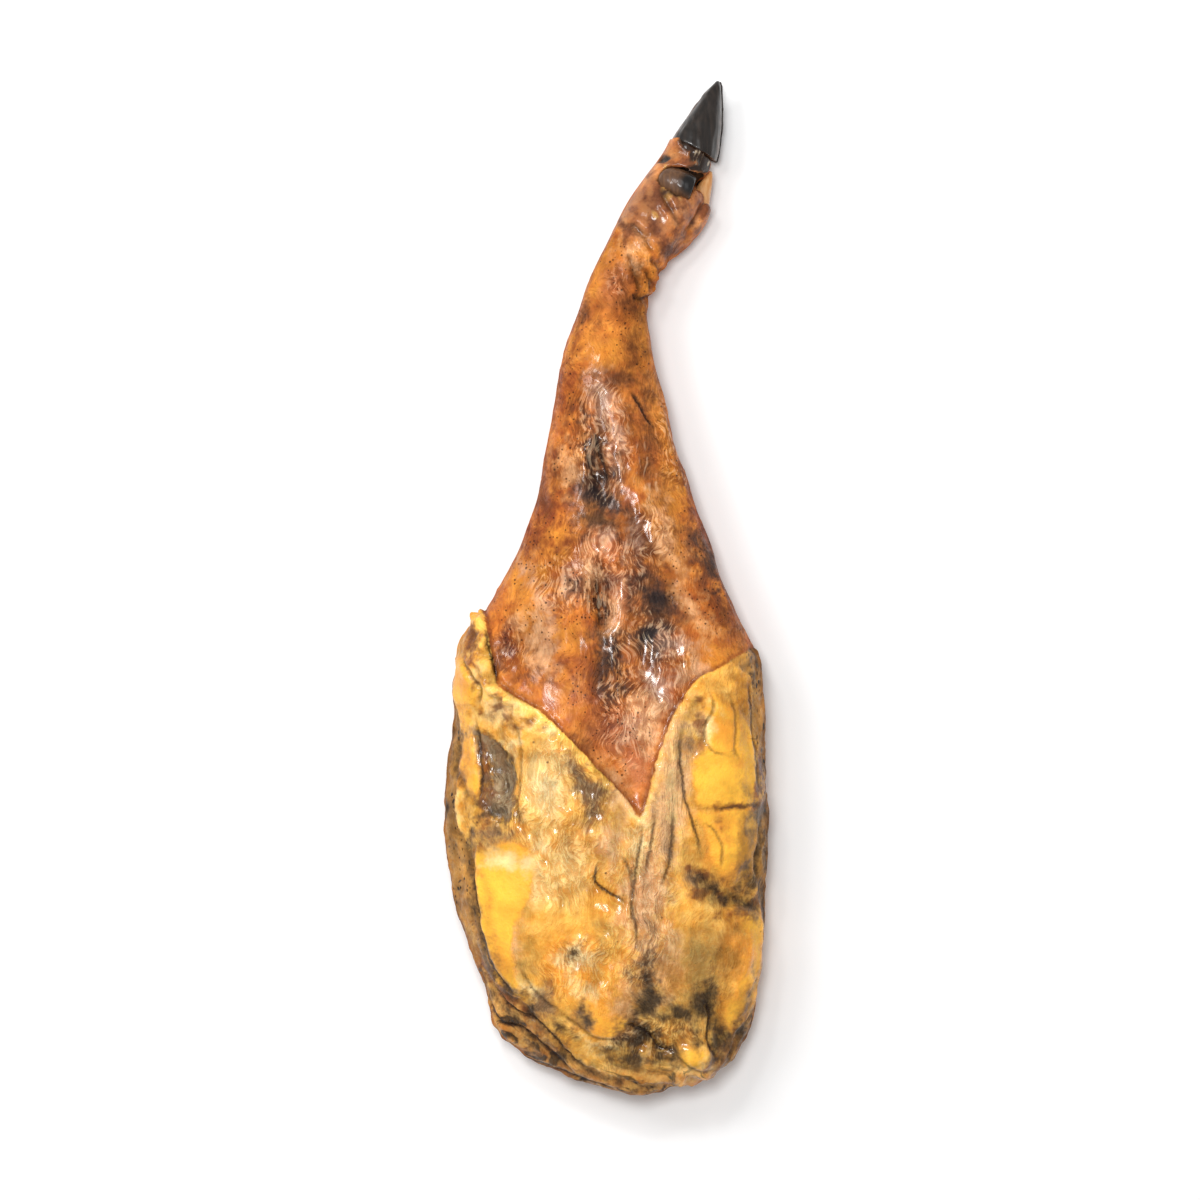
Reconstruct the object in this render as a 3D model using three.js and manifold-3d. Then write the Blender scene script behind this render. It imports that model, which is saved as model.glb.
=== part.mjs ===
// A whole cured pork shoulder with its hoof, lying flat on its meat side with the rind side up.
// Millimetres. +Y runs from the cut end of the shoulder to the tip of the hoof, +X is to the right when
// it is seen from above, and +Z is up. The origin is on the floor, under the middle of the whole piece.
import * as THREE from 'three';
import { mergeVertices } from 'three/addons/utils/BufferGeometryUtils.js';
import Module from 'manifold-3d';

const wasm = await Module();
wasm.setup();

// Driving dimensions
const FLOOR = 0;
const BODY_RING_STEP = 10; // between two rings of the shoulder's surface
const FOOT_RING_STEP = 5.5;
const FOOT_STARTS_AT = 170; // y
const CUT_END_AT = -287; // y, where the blunt cut end begins, with rings twice as close
const LEG_BENDS = { from: 150, to: 204 }; // y, where the sections turn with the foot
const LOOK_ALONG = 2; // how far to both sides of a place its direction is read
const TOP_FACETS = 36; // round the side that faces up
const BOTTOM_FACETS = 16;
const TOP_SQUARENESS = 2.25; // 2 is an ellipse, more is boxier
const BOTTOM_SQUARENESS = 3;
const RELIEF_STEEPNESS = 1.6; // relief is whole on top and gone at the sides, this quickly
const PIECE_GAP = 0.3; // between horn and flesh

const HOOF_SPLIT_Z = 24.5; // height of the cleft between the two claws
const CLEFT = 1.6;
const LOWER_CLAW_SHIFT = 1.2; // it shows past the upper claw by this much
const CORONET = { onDorsal: [41.5, 286.5], onHeel: [73, 270.5] }; // where horn takes over from skin

const FINISHES = {
  rindAndFat: { color: 0xb8732f, roughness: 0.45 },
  claw: { color: 0x2b2523, roughness: 0.3 },
  darkDewclaw: { color: 0x3d2a20, roughness: 0.35 },
  paleDewclaw: { color: 0xb98345, roughness: 0.4 },
};

// The shoulder's sections, from the cut end to the toes. at is the middle of the section at its widest
// height, left and right are how far it reaches from there, rise and drop how far it goes up and down.
const SECTIONS = [
  { at: [16, -323.5, 38], left: 14, right: 14, rise: 15, drop: 14 },
  { at: [18, -317, 38], left: 35, right: 36, rise: 21, drop: 24 },
  { at: [20, -307, 38], left: 56, right: 61, rise: 27, drop: 31 },
  { at: [17, -297, 38], left: 69, right: 70.5, rise: 31.5, drop: 36 },
  { at: [12, -287, 38], left: 79, right: 80, rise: 35.5, drop: 39 },
  { at: [10, -266, 39], left: 85.5, right: 86.5, rise: 40, drop: 41 },
  { at: [7, -246, 40], left: 90, right: 91.5, rise: 42, drop: 42 },
  { at: [3, -215, 41], left: 97, right: 99.5, rise: 44, drop: 43 },
  { at: [0, -174, 42], left: 102.5, right: 103, rise: 47, drop: 44 },
  { at: [0, -134, 42], left: 104, right: 104, rise: 50, drop: 44 },
  { at: [1, -93, 43], left: 100, right: 101, rise: 52, drop: 45 },
  { at: [0, -62, 44], left: 98, right: 100, rise: 52, drop: 46 },
  { at: [0, -42, 44], left: 95, right: 96, rise: 51, drop: 46 },
  { at: [0, -31, 44], left: 91, right: 91, rise: 50, drop: 46 },
  { at: [2, -21, 45], left: 83.5, right: 84.5, rise: 47, drop: 46 },
  { at: [3, -11, 45], left: 77.5, right: 78.5, rise: 45, drop: 45 },
  { at: [5, 9, 46], left: 67, right: 66.5, rise: 41, drop: 42 },
  { at: [6, 30, 46], left: 58, right: 58, rise: 38, drop: 38 },
  { at: [5, 50, 46], left: 51, right: 51.5, rise: 35, drop: 34 },
  { at: [3.5, 81, 45], left: 43, right: 43, rise: 32, drop: 30 },
  { at: [2, 111, 43], left: 36, right: 35.5, rise: 30, drop: 27.5 },
  { at: [1, 132, 42], left: 32, right: 31.5, rise: 28, drop: 26 },
  { at: [1.5, 152, 41], left: 27, right: 27, rise: 26, drop: 24 },
  { at: [4, 172, 40], left: 23, right: 23, rise: 23, drop: 21 },
  { at: [8, 188, 38], left: 21, right: 20.5, rise: 21, drop: 19 },
  { at: [14.5, 204, 36], left: 20, right: 19.5, rise: 20, drop: 19 },
  { at: [28.5, 228, 31], left: 21.5, right: 21, rise: 22, drop: 22 },
  { at: [43, 252, 27], left: 20.5, right: 16.5, rise: 22, drop: 22 },
  { at: [51.5, 268, 25], left: 18.5, right: 16, rise: 20, drop: 19 },
  { at: [57, 281, 24.5], left: 17, right: 14, rise: 18, drop: 17 },
];

// Swellings and hollows of the upper side: at is their middle in plan, size their reach to each side and
// along, turn their lean to the left in degrees, and lift how high they stand.
const FORMS = [
  { at: [-1, 20], size: [13, 17], turn: 0, lift: 5 }, // elbow knob under the rind
  { at: [-3, 58], size: [5, 15], turn: 5, lift: -6 }, // pit above the elbow
  { at: [-13, 92], size: [6, 24], turn: -4, lift: 2.5 }, // tendon to the left of it
  { at: [10, 100], size: [6, 26], turn: 4, lift: 1.5 },
  { at: [31, 98], size: [4, 24], turn: 18, lift: -3 }, // crease beside the long tendon
  { at: [43, 80], size: [7, 45], turn: 15, lift: 2 }, // long tendon on the right
  { at: [-57, -41], size: [12, 15], turn: 0, lift: -6 }, // hollow behind the joint, left
  { at: [-36, -22], size: [11, 26], turn: 22, lift: 4 },
  { at: [-3, -15], size: [4, 18], turn: 0, lift: -6 }, // groove under the knob
  { at: [13, -45], size: [7, 19], turn: 8, lift: -4 },
  { at: [31, -14], size: [12, 22], turn: 0, lift: -3.5 },
  { at: [58, -20], size: [16, 26], turn: -12, lift: 3 },
  { at: [-70, -117], size: [9, 34], turn: 0, lift: -5 }, // lean window at the left
  { at: [-42, -110], size: [16, 40], turn: 10, lift: 2.5 },
  { at: [-52, -215], size: [24, 46], turn: 6, lift: 3 }, // smooth fat, left
  { at: [21, -195], size: [5, 62], turn: 0, lift: 3 }, // ridge of the seam
  { at: [46, -195], size: [13, 60], turn: -3, lift: -2.5 },
  { at: [79, -135], size: [13, 62], turn: 0, lift: 3 }, // smooth fat, right
  { at: [84, -194], size: [15, 13], turn: 0, lift: -3.5 }, // dark notch under it
  { at: [28, -282], size: [21, 12], turn: 0, lift: -4.5 }, // hollow at the cut end
  { at: [60, -294], size: [14, 13], turn: 0, lift: 3 },
  { at: [72, -268], size: [11, 17], turn: -20, lift: -3.5 },
  { at: [-5, -266], size: [17, 14], turn: 0, lift: 3 },
];

// The cut edge of the rind: down the left side to the point of the V, and up to the right side.
const RIND_EDGE = [
  [-96, -20], [-77, -16], [-74, -30], [-69, -52], [-56, -66], [-38, -82],
  [-18, -98], [3, -122], [15, -134], [21, -145],
  [25, -131], [30, -113], [39, -91], [48, -71], [56, -62], [72, -49], [88, -41], [104, -36],
];
const RIND_SUNK = { by: 1.8, from: 12, to: -28 }; // in the V the dried rind lies lower than the fat
const FAT_LIP = { height: 1.4, width: 9 }; // and the fat swells along the cut

// Where the upper fat ends in a low step above the left flank, from the rind to the cut end.
const FLANK_EDGE = [
  [-90, -60], [-84, -92], [-81, -130], [-83, -165], [-83, -205], [-74, -240], [-58, -268], [-34, -291],
  [4, -318], [40, -340],
];
const FLANK_DROP = { height: 5, width: 7, fades: 30 };

// Folds of loose skin inside the bend of the wrist
const WRIST_FOLDS = { from: 183, to: 222, spacing: 8.5, depth: 2.4, level: 0.6 };

const { smoothstep, lerp, degToRad } = THREE.MathUtils;

/** Signed distance in plan to an open line of points, positive to the left of its direction of travel. */
function besideLine(line, x, y) {
  let nearest = Infinity;
  let side = 1;
  for (let i = 1; i < line.length; i++) {
    const [ax, ay] = line[i - 1];
    const [bx, by] = line[i];
    const run = [bx - ax, by - ay];
    const share = ((x - ax) * run[0] + (y - ay) * run[1]) / (run[0] ** 2 + run[1] ** 2);
    const held = THREE.MathUtils.clamp(share, 0, 1);
    const away = Math.hypot(x - ax - run[0] * held, y - ay - run[1] * held);
    if (away < nearest) {
      nearest = away;
      side = Math.sign(run[0] * (y - ay) - run[1] * (x - ax)) || 1;
    }
  }
  return nearest * side;
}

function bell(distance, width) {
  return Math.exp(-((distance / width) ** 2));
}

/** How far the upper side of the fat or the rind stands above its plain section at a place in plan. */
function reliefAt(x, y, isRind) {
  let lift = 0;
  for (const form of FORMS) {
    const [dx, dy] = [x - form.at[0], y - form.at[1]];
    const turn = degToRad(form.turn);
    const across = dx * Math.cos(turn) + dy * Math.sin(turn);
    const along = dy * Math.cos(turn) - dx * Math.sin(turn);
    lift += form.lift * Math.exp(-((across / form.size[0]) ** 2) - (along / form.size[1]) ** 2);
  }
  if (!isRind) lift += FAT_LIP.height * bell(besideLine(RIND_EDGE, x, y), FAT_LIP.width);
  const pastFlank = -besideLine(FLANK_EDGE, x, y);
  const fade = 1 - smoothstep(pastFlank, FLANK_DROP.width, FLANK_DROP.fades);
  lift -= FLANK_DROP.height * smoothstep(pastFlank, 0, FLANK_DROP.width) * fade;
  return lift;
}

/** A closed surface through rings of points: ringPoint(ring, turn), with turn from 0 to 1 going from the
 *  right over the top to the left and back underneath, and both ends closed on their middles. */
function ringsToGeometry(ringCount, facets, ringPoint) {
  const points = [];
  for (let ring = 0; ring < ringCount; ring++) {
    for (let facet = 0; facet < facets; facet++) points.push(ringPoint(ring, facet / facets));
  }
  const middle = (ring) => {
    const sum = new THREE.Vector3();
    for (let facet = 0; facet < facets; facet++) sum.add(points[ring * facets + facet]);
    return sum.divideScalar(facets);
  };
  const start = points.push(middle(0)) - 1;
  const end = points.push(middle(ringCount - 1)) - 1;
  const faces = [];
  for (let facet = 0; facet < facets; facet++) {
    const next = (facet + 1) % facets;
    faces.push(start, facet, next);
    const last = (ringCount - 1) * facets;
    faces.push(end, last + next, last + facet);
    for (let ring = 0; ring < ringCount - 1; ring++) {
      const [here, above] = [ring * facets, (ring + 1) * facets];
      faces.push(here + facet, above + next, here + next);
      faces.push(here + facet, above + facet, above + next);
    }
  }
  const geometry = new THREE.BufferGeometry().setFromPoints(points);
  geometry.setIndex(faces);
  return geometry;
}

/** Reads every measure of a list of sections smoothly at any place along it. */
function sectionReader(sections, measures) {
  const places = [0];
  for (let i = 1; i < sections.length; i++) {
    const step = new THREE.Vector3(...sections[i].at).distanceTo(new THREE.Vector3(...sections[i - 1].at));
    places.push(places[i - 1] + step);
  }
  const values = sections.flatMap((section) => [...section.at, ...measures.map((m) => section[m])]);
  const curve = new THREE.CubicInterpolant(places, values, 3 + measures.length);
  const read = (place) => {
    const [x, y, z, ...sizes] = curve.evaluate(place);
    return { at: new THREE.Vector3(x, y, z), ...Object.fromEntries(measures.map((m, i) => [m, sizes[i]])) };
  };
  return { read, length: places.at(-1) };
}

function power(value, exponent) {
  return Math.sign(value) * Math.abs(value) ** exponent;
}

/** Which way a line of sections runs at a place along it. */
function travelAt(read, place, length) {
  const ahead = read(Math.min(place + LOOK_ALONG, length)).at;
  return ahead.sub(read(Math.max(place - LOOK_ALONG, 0)).at).normalize();
}

/** The whole skin-covered shape, or with isRind false the one that the bare fat fills out. */
function shoulderGeometry(isRind) {
  const { read, length } = sectionReader(SECTIONS, ['left', 'right', 'rise', 'drop']);
  const places = [];
  for (let place = 0, step; place < length; place += step) {
    const { y } = read(place).at;
    step = y < CUT_END_AT ? BODY_RING_STEP / 2 : y < FOOT_STARTS_AT ? BODY_RING_STEP : FOOT_RING_STEP;
    places.push(place);
  }
  places.push(length);
  const facets = TOP_FACETS + BOTTOM_FACETS;
  return ringsToGeometry(places.length, facets, (ring, turn) => {
    const here = read(places[ring]);
    const travel = travelAt(read, places[ring], length);
    const bent = smoothstep(here.at.y, LEG_BENDS.from, LEG_BENDS.to);
    const right = new THREE.Vector3(travel.y, -travel.x * bent, 0).normalize();
    const step = turn * facets;
    const onTop = step < TOP_FACETS;
    const angle = Math.PI * (onTop ? step / TOP_FACETS : 1 + (step - TOP_FACETS) / BOTTOM_FACETS);
    const square = 2 / (onTop ? TOP_SQUARENESS : BOTTOM_SQUARENESS);
    const out = power(Math.cos(angle), square);
    const up = power(Math.sin(angle), square);
    const sunk = isRind ? RIND_SUNK.by * (1 - smoothstep(here.at.y, RIND_SUNK.to, RIND_SUNK.from)) : 0;
    let reach = (out > 0 ? here.right : here.left) - sunk;
    const foldPlace = (here.at.y - WRIST_FOLDS.from) / WRIST_FOLDS.spacing;
    if (here.at.y > WRIST_FOLDS.from && here.at.y < WRIST_FOLDS.to && out > 0) {
      const shape = Math.abs(Math.sin(Math.PI * foldPlace)) - WRIST_FOLDS.level;
      reach += WRIST_FOLDS.depth * shape * out ** 2;
    }
    const point = here.at.clone().addScaledVector(right, out * reach);
    point.z += up * (onTop ? here.rise - sunk : here.drop);
    if (onTop) point.z += reliefAt(point.x, point.y, isRind) * Math.min(1, up * RELIEF_STEEPNESS);
    point.z = Math.max(point.z, FLOOR);
    return point;
  });
}

/** A cone or bud through round sections, for the cuffs and dewclaws of the foot. */
function budGeometry(sections, facets, rings) {
  const { read, length } = sectionReader(sections, ['wide', 'high']);
  return ringsToGeometry(rings, facets, (ring, turn) => {
    const place = (length * ring) / (rings - 1);
    const here = read(place);
    const travel = travelAt(read, place, length);
    const right = new THREE.Vector3(travel.y, -travel.x, 0).normalize();
    const up = new THREE.Vector3().crossVectors(right, travel);
    const angle = 2 * Math.PI * turn;
    return here.at
      .clone()
      .addScaledVector(right, Math.cos(angle) * here.wide)
      .addScaledVector(up, Math.sin(angle) * here.high);
  });
}

function toSolid(geometry) {
  const bare = new THREE.BufferGeometry().setAttribute('position', geometry.getAttribute('position'));
  if (geometry.index) bare.setIndex(geometry.index);
  const merged = mergeVertices(bare, 1e-3);
  return new wasm.Manifold(
    new wasm.Mesh({
      numProp: 3,
      vertProperties: merged.attributes.position.array,
      triVerts: new Uint32Array(merged.index.array),
    }),
  );
}

function toGeometry(solid) {
  const mesh = solid.getMesh();
  const geometry = new THREE.BufferGeometry();
  geometry.setAttribute('position', new THREE.BufferAttribute(new Float32Array(mesh.vertProperties), 3));
  geometry.setIndex(new THREE.BufferAttribute(new Uint32Array(mesh.triVerts), 1));
  geometry.computeVertexNormals();
  return geometry;
}

/** Everything on the fat's side of the cut edge of the rind, above and below. */
function fatSide() {
  const clear = 400; // well outside the shoulder on every side
  const [leftEnd, rightEnd] = [RIND_EDGE[0], RIND_EDGE.at(-1)];
  const outside = [[clear, rightEnd[1]], [clear, -clear], [-clear, -clear], [-clear, leftEnd[1]]];
  const shape = new THREE.Shape([...RIND_EDGE, ...outside].map(([x, y]) => new THREE.Vector2(x, y)));
  const block = new THREE.ExtrudeGeometry(shape, { depth: 2 * clear, bevelEnabled: false });
  return toSolid(block.translate(0, 0, -clear));
}

/** A block that takes away everything past the coronet, towards the tip (side 1) or the leg (side -1). */
function beyondCoronet(side, gap) {
  const dorsal = new THREE.Vector2(...CORONET.onDorsal);
  const heel = new THREE.Vector2(...CORONET.onHeel);
  const along = heel.clone().sub(dorsal).normalize();
  const reach = 200;
  const block = new THREE.BoxGeometry(reach, reach, reach);
  block.translate(0, (side * reach) / 2 + side * gap, 0);
  block.rotateZ(along.angle());
  const middle = dorsal.lerp(heel, 0.5);
  block.translate(middle.x, middle.y, HOOF_SPLIT_Z);
  return toSolid(block);
}

// One claw, as sections across Y: the dorsal edge on the left, the sole on the right, and its thickness.
const CLAW_SECTIONS = [
  { y: 258, dorsal: 34, sole: 64, thick: 18 },
  { y: 266, dorsal: 37, sole: 68.5, thick: 20 },
  { y: 276, dorsal: 40, sole: 72, thick: 20.5 },
  { y: 286, dorsal: 42, sole: 73.3, thick: 19 },
  { y: 301, dorsal: 52, sole: 74.3, thick: 14.5 },
  { y: 314, dorsal: 61.3, sole: 74.2, thick: 9 },
  { y: 321, dorsal: 67.5, sole: 73.8, thick: 5.5 },
  { y: 324.6, dorsal: 70.6, sole: 72.8, thick: 2.6 },
];
const CLAW_FACETS = 22;
const CLAW_RINGS = 16;
const CLAW_EDGE = 0.85; // under 1 blunts the dorsal edge and the sole
const CLAW_WALL = 0.8; // under 1 makes the outer wall bulge
const CLAW_FULLNESS = { dorsal: 1.08, sole: 0.82 };
const CLEFT_SWELL = 0.015; // the wall inside the cleft is nearly flat

function clawGeometry(direction) {
  const sections = CLAW_SECTIONS.map(({ y, dorsal, sole, thick }) => ({
    at: [(dorsal + sole) / 2, y, 0],
    half: (sole - dorsal) / 2,
    thick,
  }));
  const { read, length } = sectionReader(sections, ['half', 'thick']);
  const shift = direction < 0 ? LOWER_CLAW_SHIFT : 0;
  const inner = CLEFT / 2;
  return ringsToGeometry(CLAW_RINGS, CLAW_FACETS, (ring, turn) => {
    const here = read((length * ring) / (CLAW_RINGS - 1));
    const angle = 2 * Math.PI * turn;
    const out = power(Math.cos(angle), CLAW_EDGE);
    const up = Math.sin(angle) * direction;
    const fullness = lerp(CLAW_FULLNESS.dorsal, CLAW_FULLNESS.sole, (out + 1) / 2);
    const bulge = up > 0 ? up ** CLAW_WALL * fullness : -up * CLEFT_SWELL;
    const away = inner + bulge * here.thick;
    return new THREE.Vector3(here.at.x + shift + out * here.half, here.at.y, HOOF_SPLIT_Z + direction * away);
  });
}

const DARK_DEWCLAW = [
  { at: [36, 259.5, 38], wide: 6.5, high: 6 },
  { at: [39, 258.5, 40], wide: 9, high: 8.5 },
  { at: [45, 256.5, 41.5], wide: 9.8, high: 9 },
  { at: [51, 254.5, 42], wide: 9.2, high: 8.5 },
  { at: [55.5, 253, 42], wide: 7.6, high: 7 },
];
const DEWCLAW_HOLLOW = [
  { at: [48, 255.5, 42], wide: 2.5, high: 2.5 },
  { at: [52, 254.2, 42], wide: 5, high: 5 },
  { at: [58, 252.3, 42], wide: 6, high: 5.6 },
];
const PALE_DEWCLAW = [
  { at: [58.5, 244.5, 20], wide: 7.4, high: 7.6 },
  { at: [61, 250, 20.5], wide: 6.6, high: 7 },
  { at: [64, 257, 21.5], wide: 5, high: 5.4 },
  { at: [66.3, 263, 22.5], wide: 3, high: 3.4 },
  { at: [67.4, 267, 23], wide: 1.2, high: 1.4 },
];
const PALE_CUFF = [
  { at: [36, 218, 26], wide: 12, high: 13 },
  { at: [45.5, 229, 24], wide: 13, high: 14.5 },
  { at: [54, 238, 22], wide: 11.5, high: 12.5 },
  { at: [58.8, 243.5, 20.5], wide: 9, high: 9.4 },
];
// The dark recess between the claws and the dewclaws
const BEHIND_CLAWS = [
  { at: [50, 262, 44], wide: 3, high: 3 },
  { at: [57, 258, 38], wide: 6.5, high: 7 },
  { at: [63, 256.5, 32], wide: 7, high: 9 },
  { at: [74, 253, 24], wide: 8, high: 12 },
];
const BUD_FACETS = 18;
const BUD_RINGS = 8;

const bud = (sections) => toSolid(budGeometry(sections, BUD_FACETS, BUD_RINGS));
const grown = (sections) =>
  sections.map((s) => ({ at: s.at, wide: s.wide + PIECE_GAP, high: s.high + PIECE_GAP }));

/** The same sections, with both ends carried on by the gap, so that a cut clears the ends too. */
function grownPastEnds(sections) {
  const ends = grown(sections);
  const carried = (end, beside) => {
    const [at, from] = [new THREE.Vector3(...end.at), new THREE.Vector3(...beside.at)];
    return { ...end, at: at.clone().add(at.clone().sub(from).setLength(1.5 * PIECE_GAP)).toArray() };
  };
  return [carried(ends[0], ends[1]), ...ends.slice(1, -1), carried(ends.at(-1), ends.at(-2))];
}

function shoulderSolid() {
  return toSolid(shoulderGeometry(true))
    .add(toSolid(shoulderGeometry(false)).intersect(fatSide()))
    .subtract(beyondCoronet(1, -PIECE_GAP / 2))
    .add(bud(PALE_CUFF))
    .subtract(bud(BEHIND_CLAWS))
    .subtract(bud(grownPastEnds(DARK_DEWCLAW)))
    .subtract(bud(grownPastEnds(PALE_DEWCLAW)));
}

function clawSolid(direction) {
  return toSolid(clawGeometry(direction)).subtract(beyondCoronet(-1, -PIECE_GAP / 2));
}

const pieces = [
  ['shoulder', shoulderSolid(), FINISHES.rindAndFat],
  ['claw_upper', clawSolid(1), FINISHES.claw],
  ['claw_lower', clawSolid(-1), FINISHES.claw],
  ['dewclaw_dark', bud(DARK_DEWCLAW).subtract(bud(DEWCLAW_HOLLOW)), FINISHES.darkDewclaw],
  ['dewclaw_pale', bud(PALE_DEWCLAW), FINISHES.paleDewclaw],
];

const curedShoulder = new THREE.Group();
for (const [name, solid, finish] of pieces) {
  const mesh = new THREE.Mesh(toGeometry(solid), new THREE.MeshStandardMaterial({ ...finish, metalness: 0 }));
  mesh.name = name;
  curedShoulder.add(mesh);
}

// The origin goes under the middle of the whole piece.
const box = new THREE.Box3().setFromObject(curedShoulder);
const middle = box.getCenter(new THREE.Vector3());
for (const mesh of curedShoulder.children) mesh.position.set(-middle.x, -middle.y, -box.min.z);

export default curedShoulder;
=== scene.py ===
import itertools
import math

import bmesh
import bpy
import numpy as np
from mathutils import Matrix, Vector


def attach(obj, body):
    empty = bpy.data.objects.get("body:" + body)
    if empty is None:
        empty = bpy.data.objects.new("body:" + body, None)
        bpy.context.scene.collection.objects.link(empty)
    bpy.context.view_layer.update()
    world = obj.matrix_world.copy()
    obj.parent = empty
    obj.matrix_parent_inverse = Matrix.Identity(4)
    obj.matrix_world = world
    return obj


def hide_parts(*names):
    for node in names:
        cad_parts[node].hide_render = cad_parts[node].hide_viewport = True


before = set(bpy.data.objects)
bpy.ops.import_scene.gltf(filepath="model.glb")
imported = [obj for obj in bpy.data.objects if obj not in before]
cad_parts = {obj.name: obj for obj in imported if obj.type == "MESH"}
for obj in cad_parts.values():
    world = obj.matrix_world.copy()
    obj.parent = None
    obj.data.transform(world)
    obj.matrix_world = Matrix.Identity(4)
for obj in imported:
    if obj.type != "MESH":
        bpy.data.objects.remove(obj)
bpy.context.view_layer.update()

# A whole cured pork shoulder with its hoof, seen from straight above on white.
# Places are millimetres in the frame's own axes: +Y to the hoof, +X to the right, +Z up.
mm = 0.001
print("frame loaded:", sorted(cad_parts))


photoView = {
    "width": 765.5,        # mm that the picture takes in, at the level of the outline
    "level": 40,
    "middle": (-3.8, -9.5),
    "lens": 110,           # a long lens from high up
    "sensor": 36,
}
softboxes = {
    # name: place, side of the square box, watts; all face the middle of the shoulder
    "windowLeft": {"at": (-900, 650, 1500), "side": 600, "watts": 11},
    "overhead": {"at": (-120, 200, 2100), "side": 380, "watts": 21},
    "glint": {"at": (-250, 500, 1250), "side": 160, "watts": 2.5},
}
room = {"white": "ffffff", "strength": 0.47}


def linear(hexColour):
    # an sRGB hex value as the linear colour that a shader takes
    parts = [int(hexColour[i:i + 2], 16) / 255 for i in (0, 2, 4)]
    return [c / 12.92 if c <= 0.04045 else ((c + 0.055) / 1.055) ** 2.4 for c in parts] + [1.0]


def linked(name, data):
    thing = bpy.data.objects.new(name, data)
    bpy.context.scene.collection.objects.link(thing)
    return thing


def facing(thing, target):
    thing.rotation_euler = (Vector(target) - thing.location).to_track_quat("-Z", "Y").to_euler()


def add(tree, kind, links=None, take=0, **settings):
    # adds a node and returns the outputs to take; links holds its inputs, each an output to join, a value to
    # set or a hex colour
    node = tree.nodes.new("ShaderNode" + kind)
    for name, value in settings.items():
        setattr(node, name, value)
    for socket, value in (links or {}).items():
        if isinstance(value, bpy.types.NodeSocket):
            tree.links.new(value, node.inputs[socket])
        else:
            node.inputs[socket].default_value = linear(value) if isinstance(value, str) else value
    return node.outputs[take] if node.outputs else None


# what the usual kinds of node are set to: mixing colours, a * b, a * b + c, and a range with soft ends
blend = {"data_type": "RGBA", "take": 2}
product = {"operation": "MULTIPLY"}
scaledSum = {"operation": "MULTIPLY_ADD"}
smooth = {"interpolation_type": "SMOOTHSTEP"}


def newMaterial(name):
    made = bpy.data.materials.new(name)
    made.use_nodes = True
    made.node_tree.nodes.clear()
    return made, made.node_tree


def cameraAndLight():
    lens = bpy.data.cameras.new("longLens")
    lens.lens = photoView["lens"]
    lens.sensor_width = photoView["sensor"]
    camera = linked("camera", lens)
    high = photoView["width"] * photoView["lens"] / photoView["sensor"] + photoView["level"]
    camera.location = (photoView["middle"][0] * mm, photoView["middle"][1] * mm, high * mm)
    bpy.context.scene.camera = camera

    for name, box in softboxes.items():
        lamp = bpy.data.lights.new(name, "AREA")
        lamp.size = box["side"] * mm
        lamp.energy = box["watts"]
        lamp = linked(name, lamp)
        lamp.location = [c * mm for c in box["at"]]
        facing(lamp, (0, 0, photoView["level"] * mm))

    world = bpy.data.worlds.new("whiteRoom")
    bpy.context.scene.world = world
    world.use_nodes = True
    background = world.node_tree.nodes["Background"]
    background.inputs["Color"].default_value = linear(room["white"])
    background.inputs["Strength"].default_value = room["strength"]
    bpy.context.scene.view_settings.view_transform = "Standard"


def floorSheet():
    # matt white paper with a tooth of about 1 mm: it scatters evenly and shows nothing but the soft shadow
    half = 6.0             # metres each way, so that no edge shows
    sheet = bpy.data.meshes.new("paper")
    corners = [(-half, -half, 0), (half, -half, 0), (half, half, 0), (-half, half, 0)]
    sheet.from_pydata(corners, [], [(0, 1, 2, 3)])
    floor = linked("floor", sheet)
    paper, tree = newMaterial("mattWhitePaper")
    place = add(tree, "TexCoord", take="Object")
    tooth = add(tree, "TexNoise", {"Vector": place, "Scale": 900.0, "Detail": 2.0})
    bump = add(tree, "Bump", {"Height": tooth, "Distance": 0.05 * mm, "Strength": 0.2})
    shader = add(tree, "BsdfDiffuse", {"Color": "f7f7f7", "Roughness": 0.8, "Normal": bump})
    add(tree, "OutputMaterial", {"Surface": shader})
    sheet.materials.append(paper)


cameraAndLight()
floorSheet()
print("camera, light and floor made")


reach = 14.0               # mm, past which a distance to an outline isn't needed


def hashed(cell, seed):
    # a fixed number from 0 to 1 for each whole-numbered cell
    mixed = cell[:, 0] * 374761393 + cell[:, 1] * 668265263 + cell[:, 2] * 1442695041 + seed * 974711
    mixed = mixed & 0xFFFFFFFF
    mixed = ((mixed ^ (mixed >> 13)) * 1274126177) & 0xFFFFFFFF
    return ((mixed ^ (mixed >> 16)) & 0xFFFF) / 0xFFFF


def lumps(points, size, seed=0):
    # smooth noise from -1 to 1 whose lumps are about size mm across; size may differ by axis
    scaled = points / np.asarray(size, float)
    low = np.floor(scaled).astype(np.int64)
    part = scaled - low
    part = part * part * part * (part * (part * 6 - 15) + 10)
    total = np.zeros(len(points))
    for corner in itertools.product((0, 1), repeat=3):
        share = np.prod(np.where(corner, part, 1 - part), axis=1)
        total += share * hashed(low + corner, seed)
    return total * 2 - 1


def strayed(points, size, by, seed):
    # the points moved about sideways, so that what is drawn on them gets a wandering outline
    moved = points.copy()
    for axis in (0, 1):
        moved[:, axis] += by * lumps(points, size, seed + axis)
    return moved


def ramp(value, low, high):
    share = np.clip((value - low) / (high - low), 0, 1)
    return share * share * (3 - 2 * share)


def bell(value, width):
    return np.exp(-(value / width) ** 2)


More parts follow.
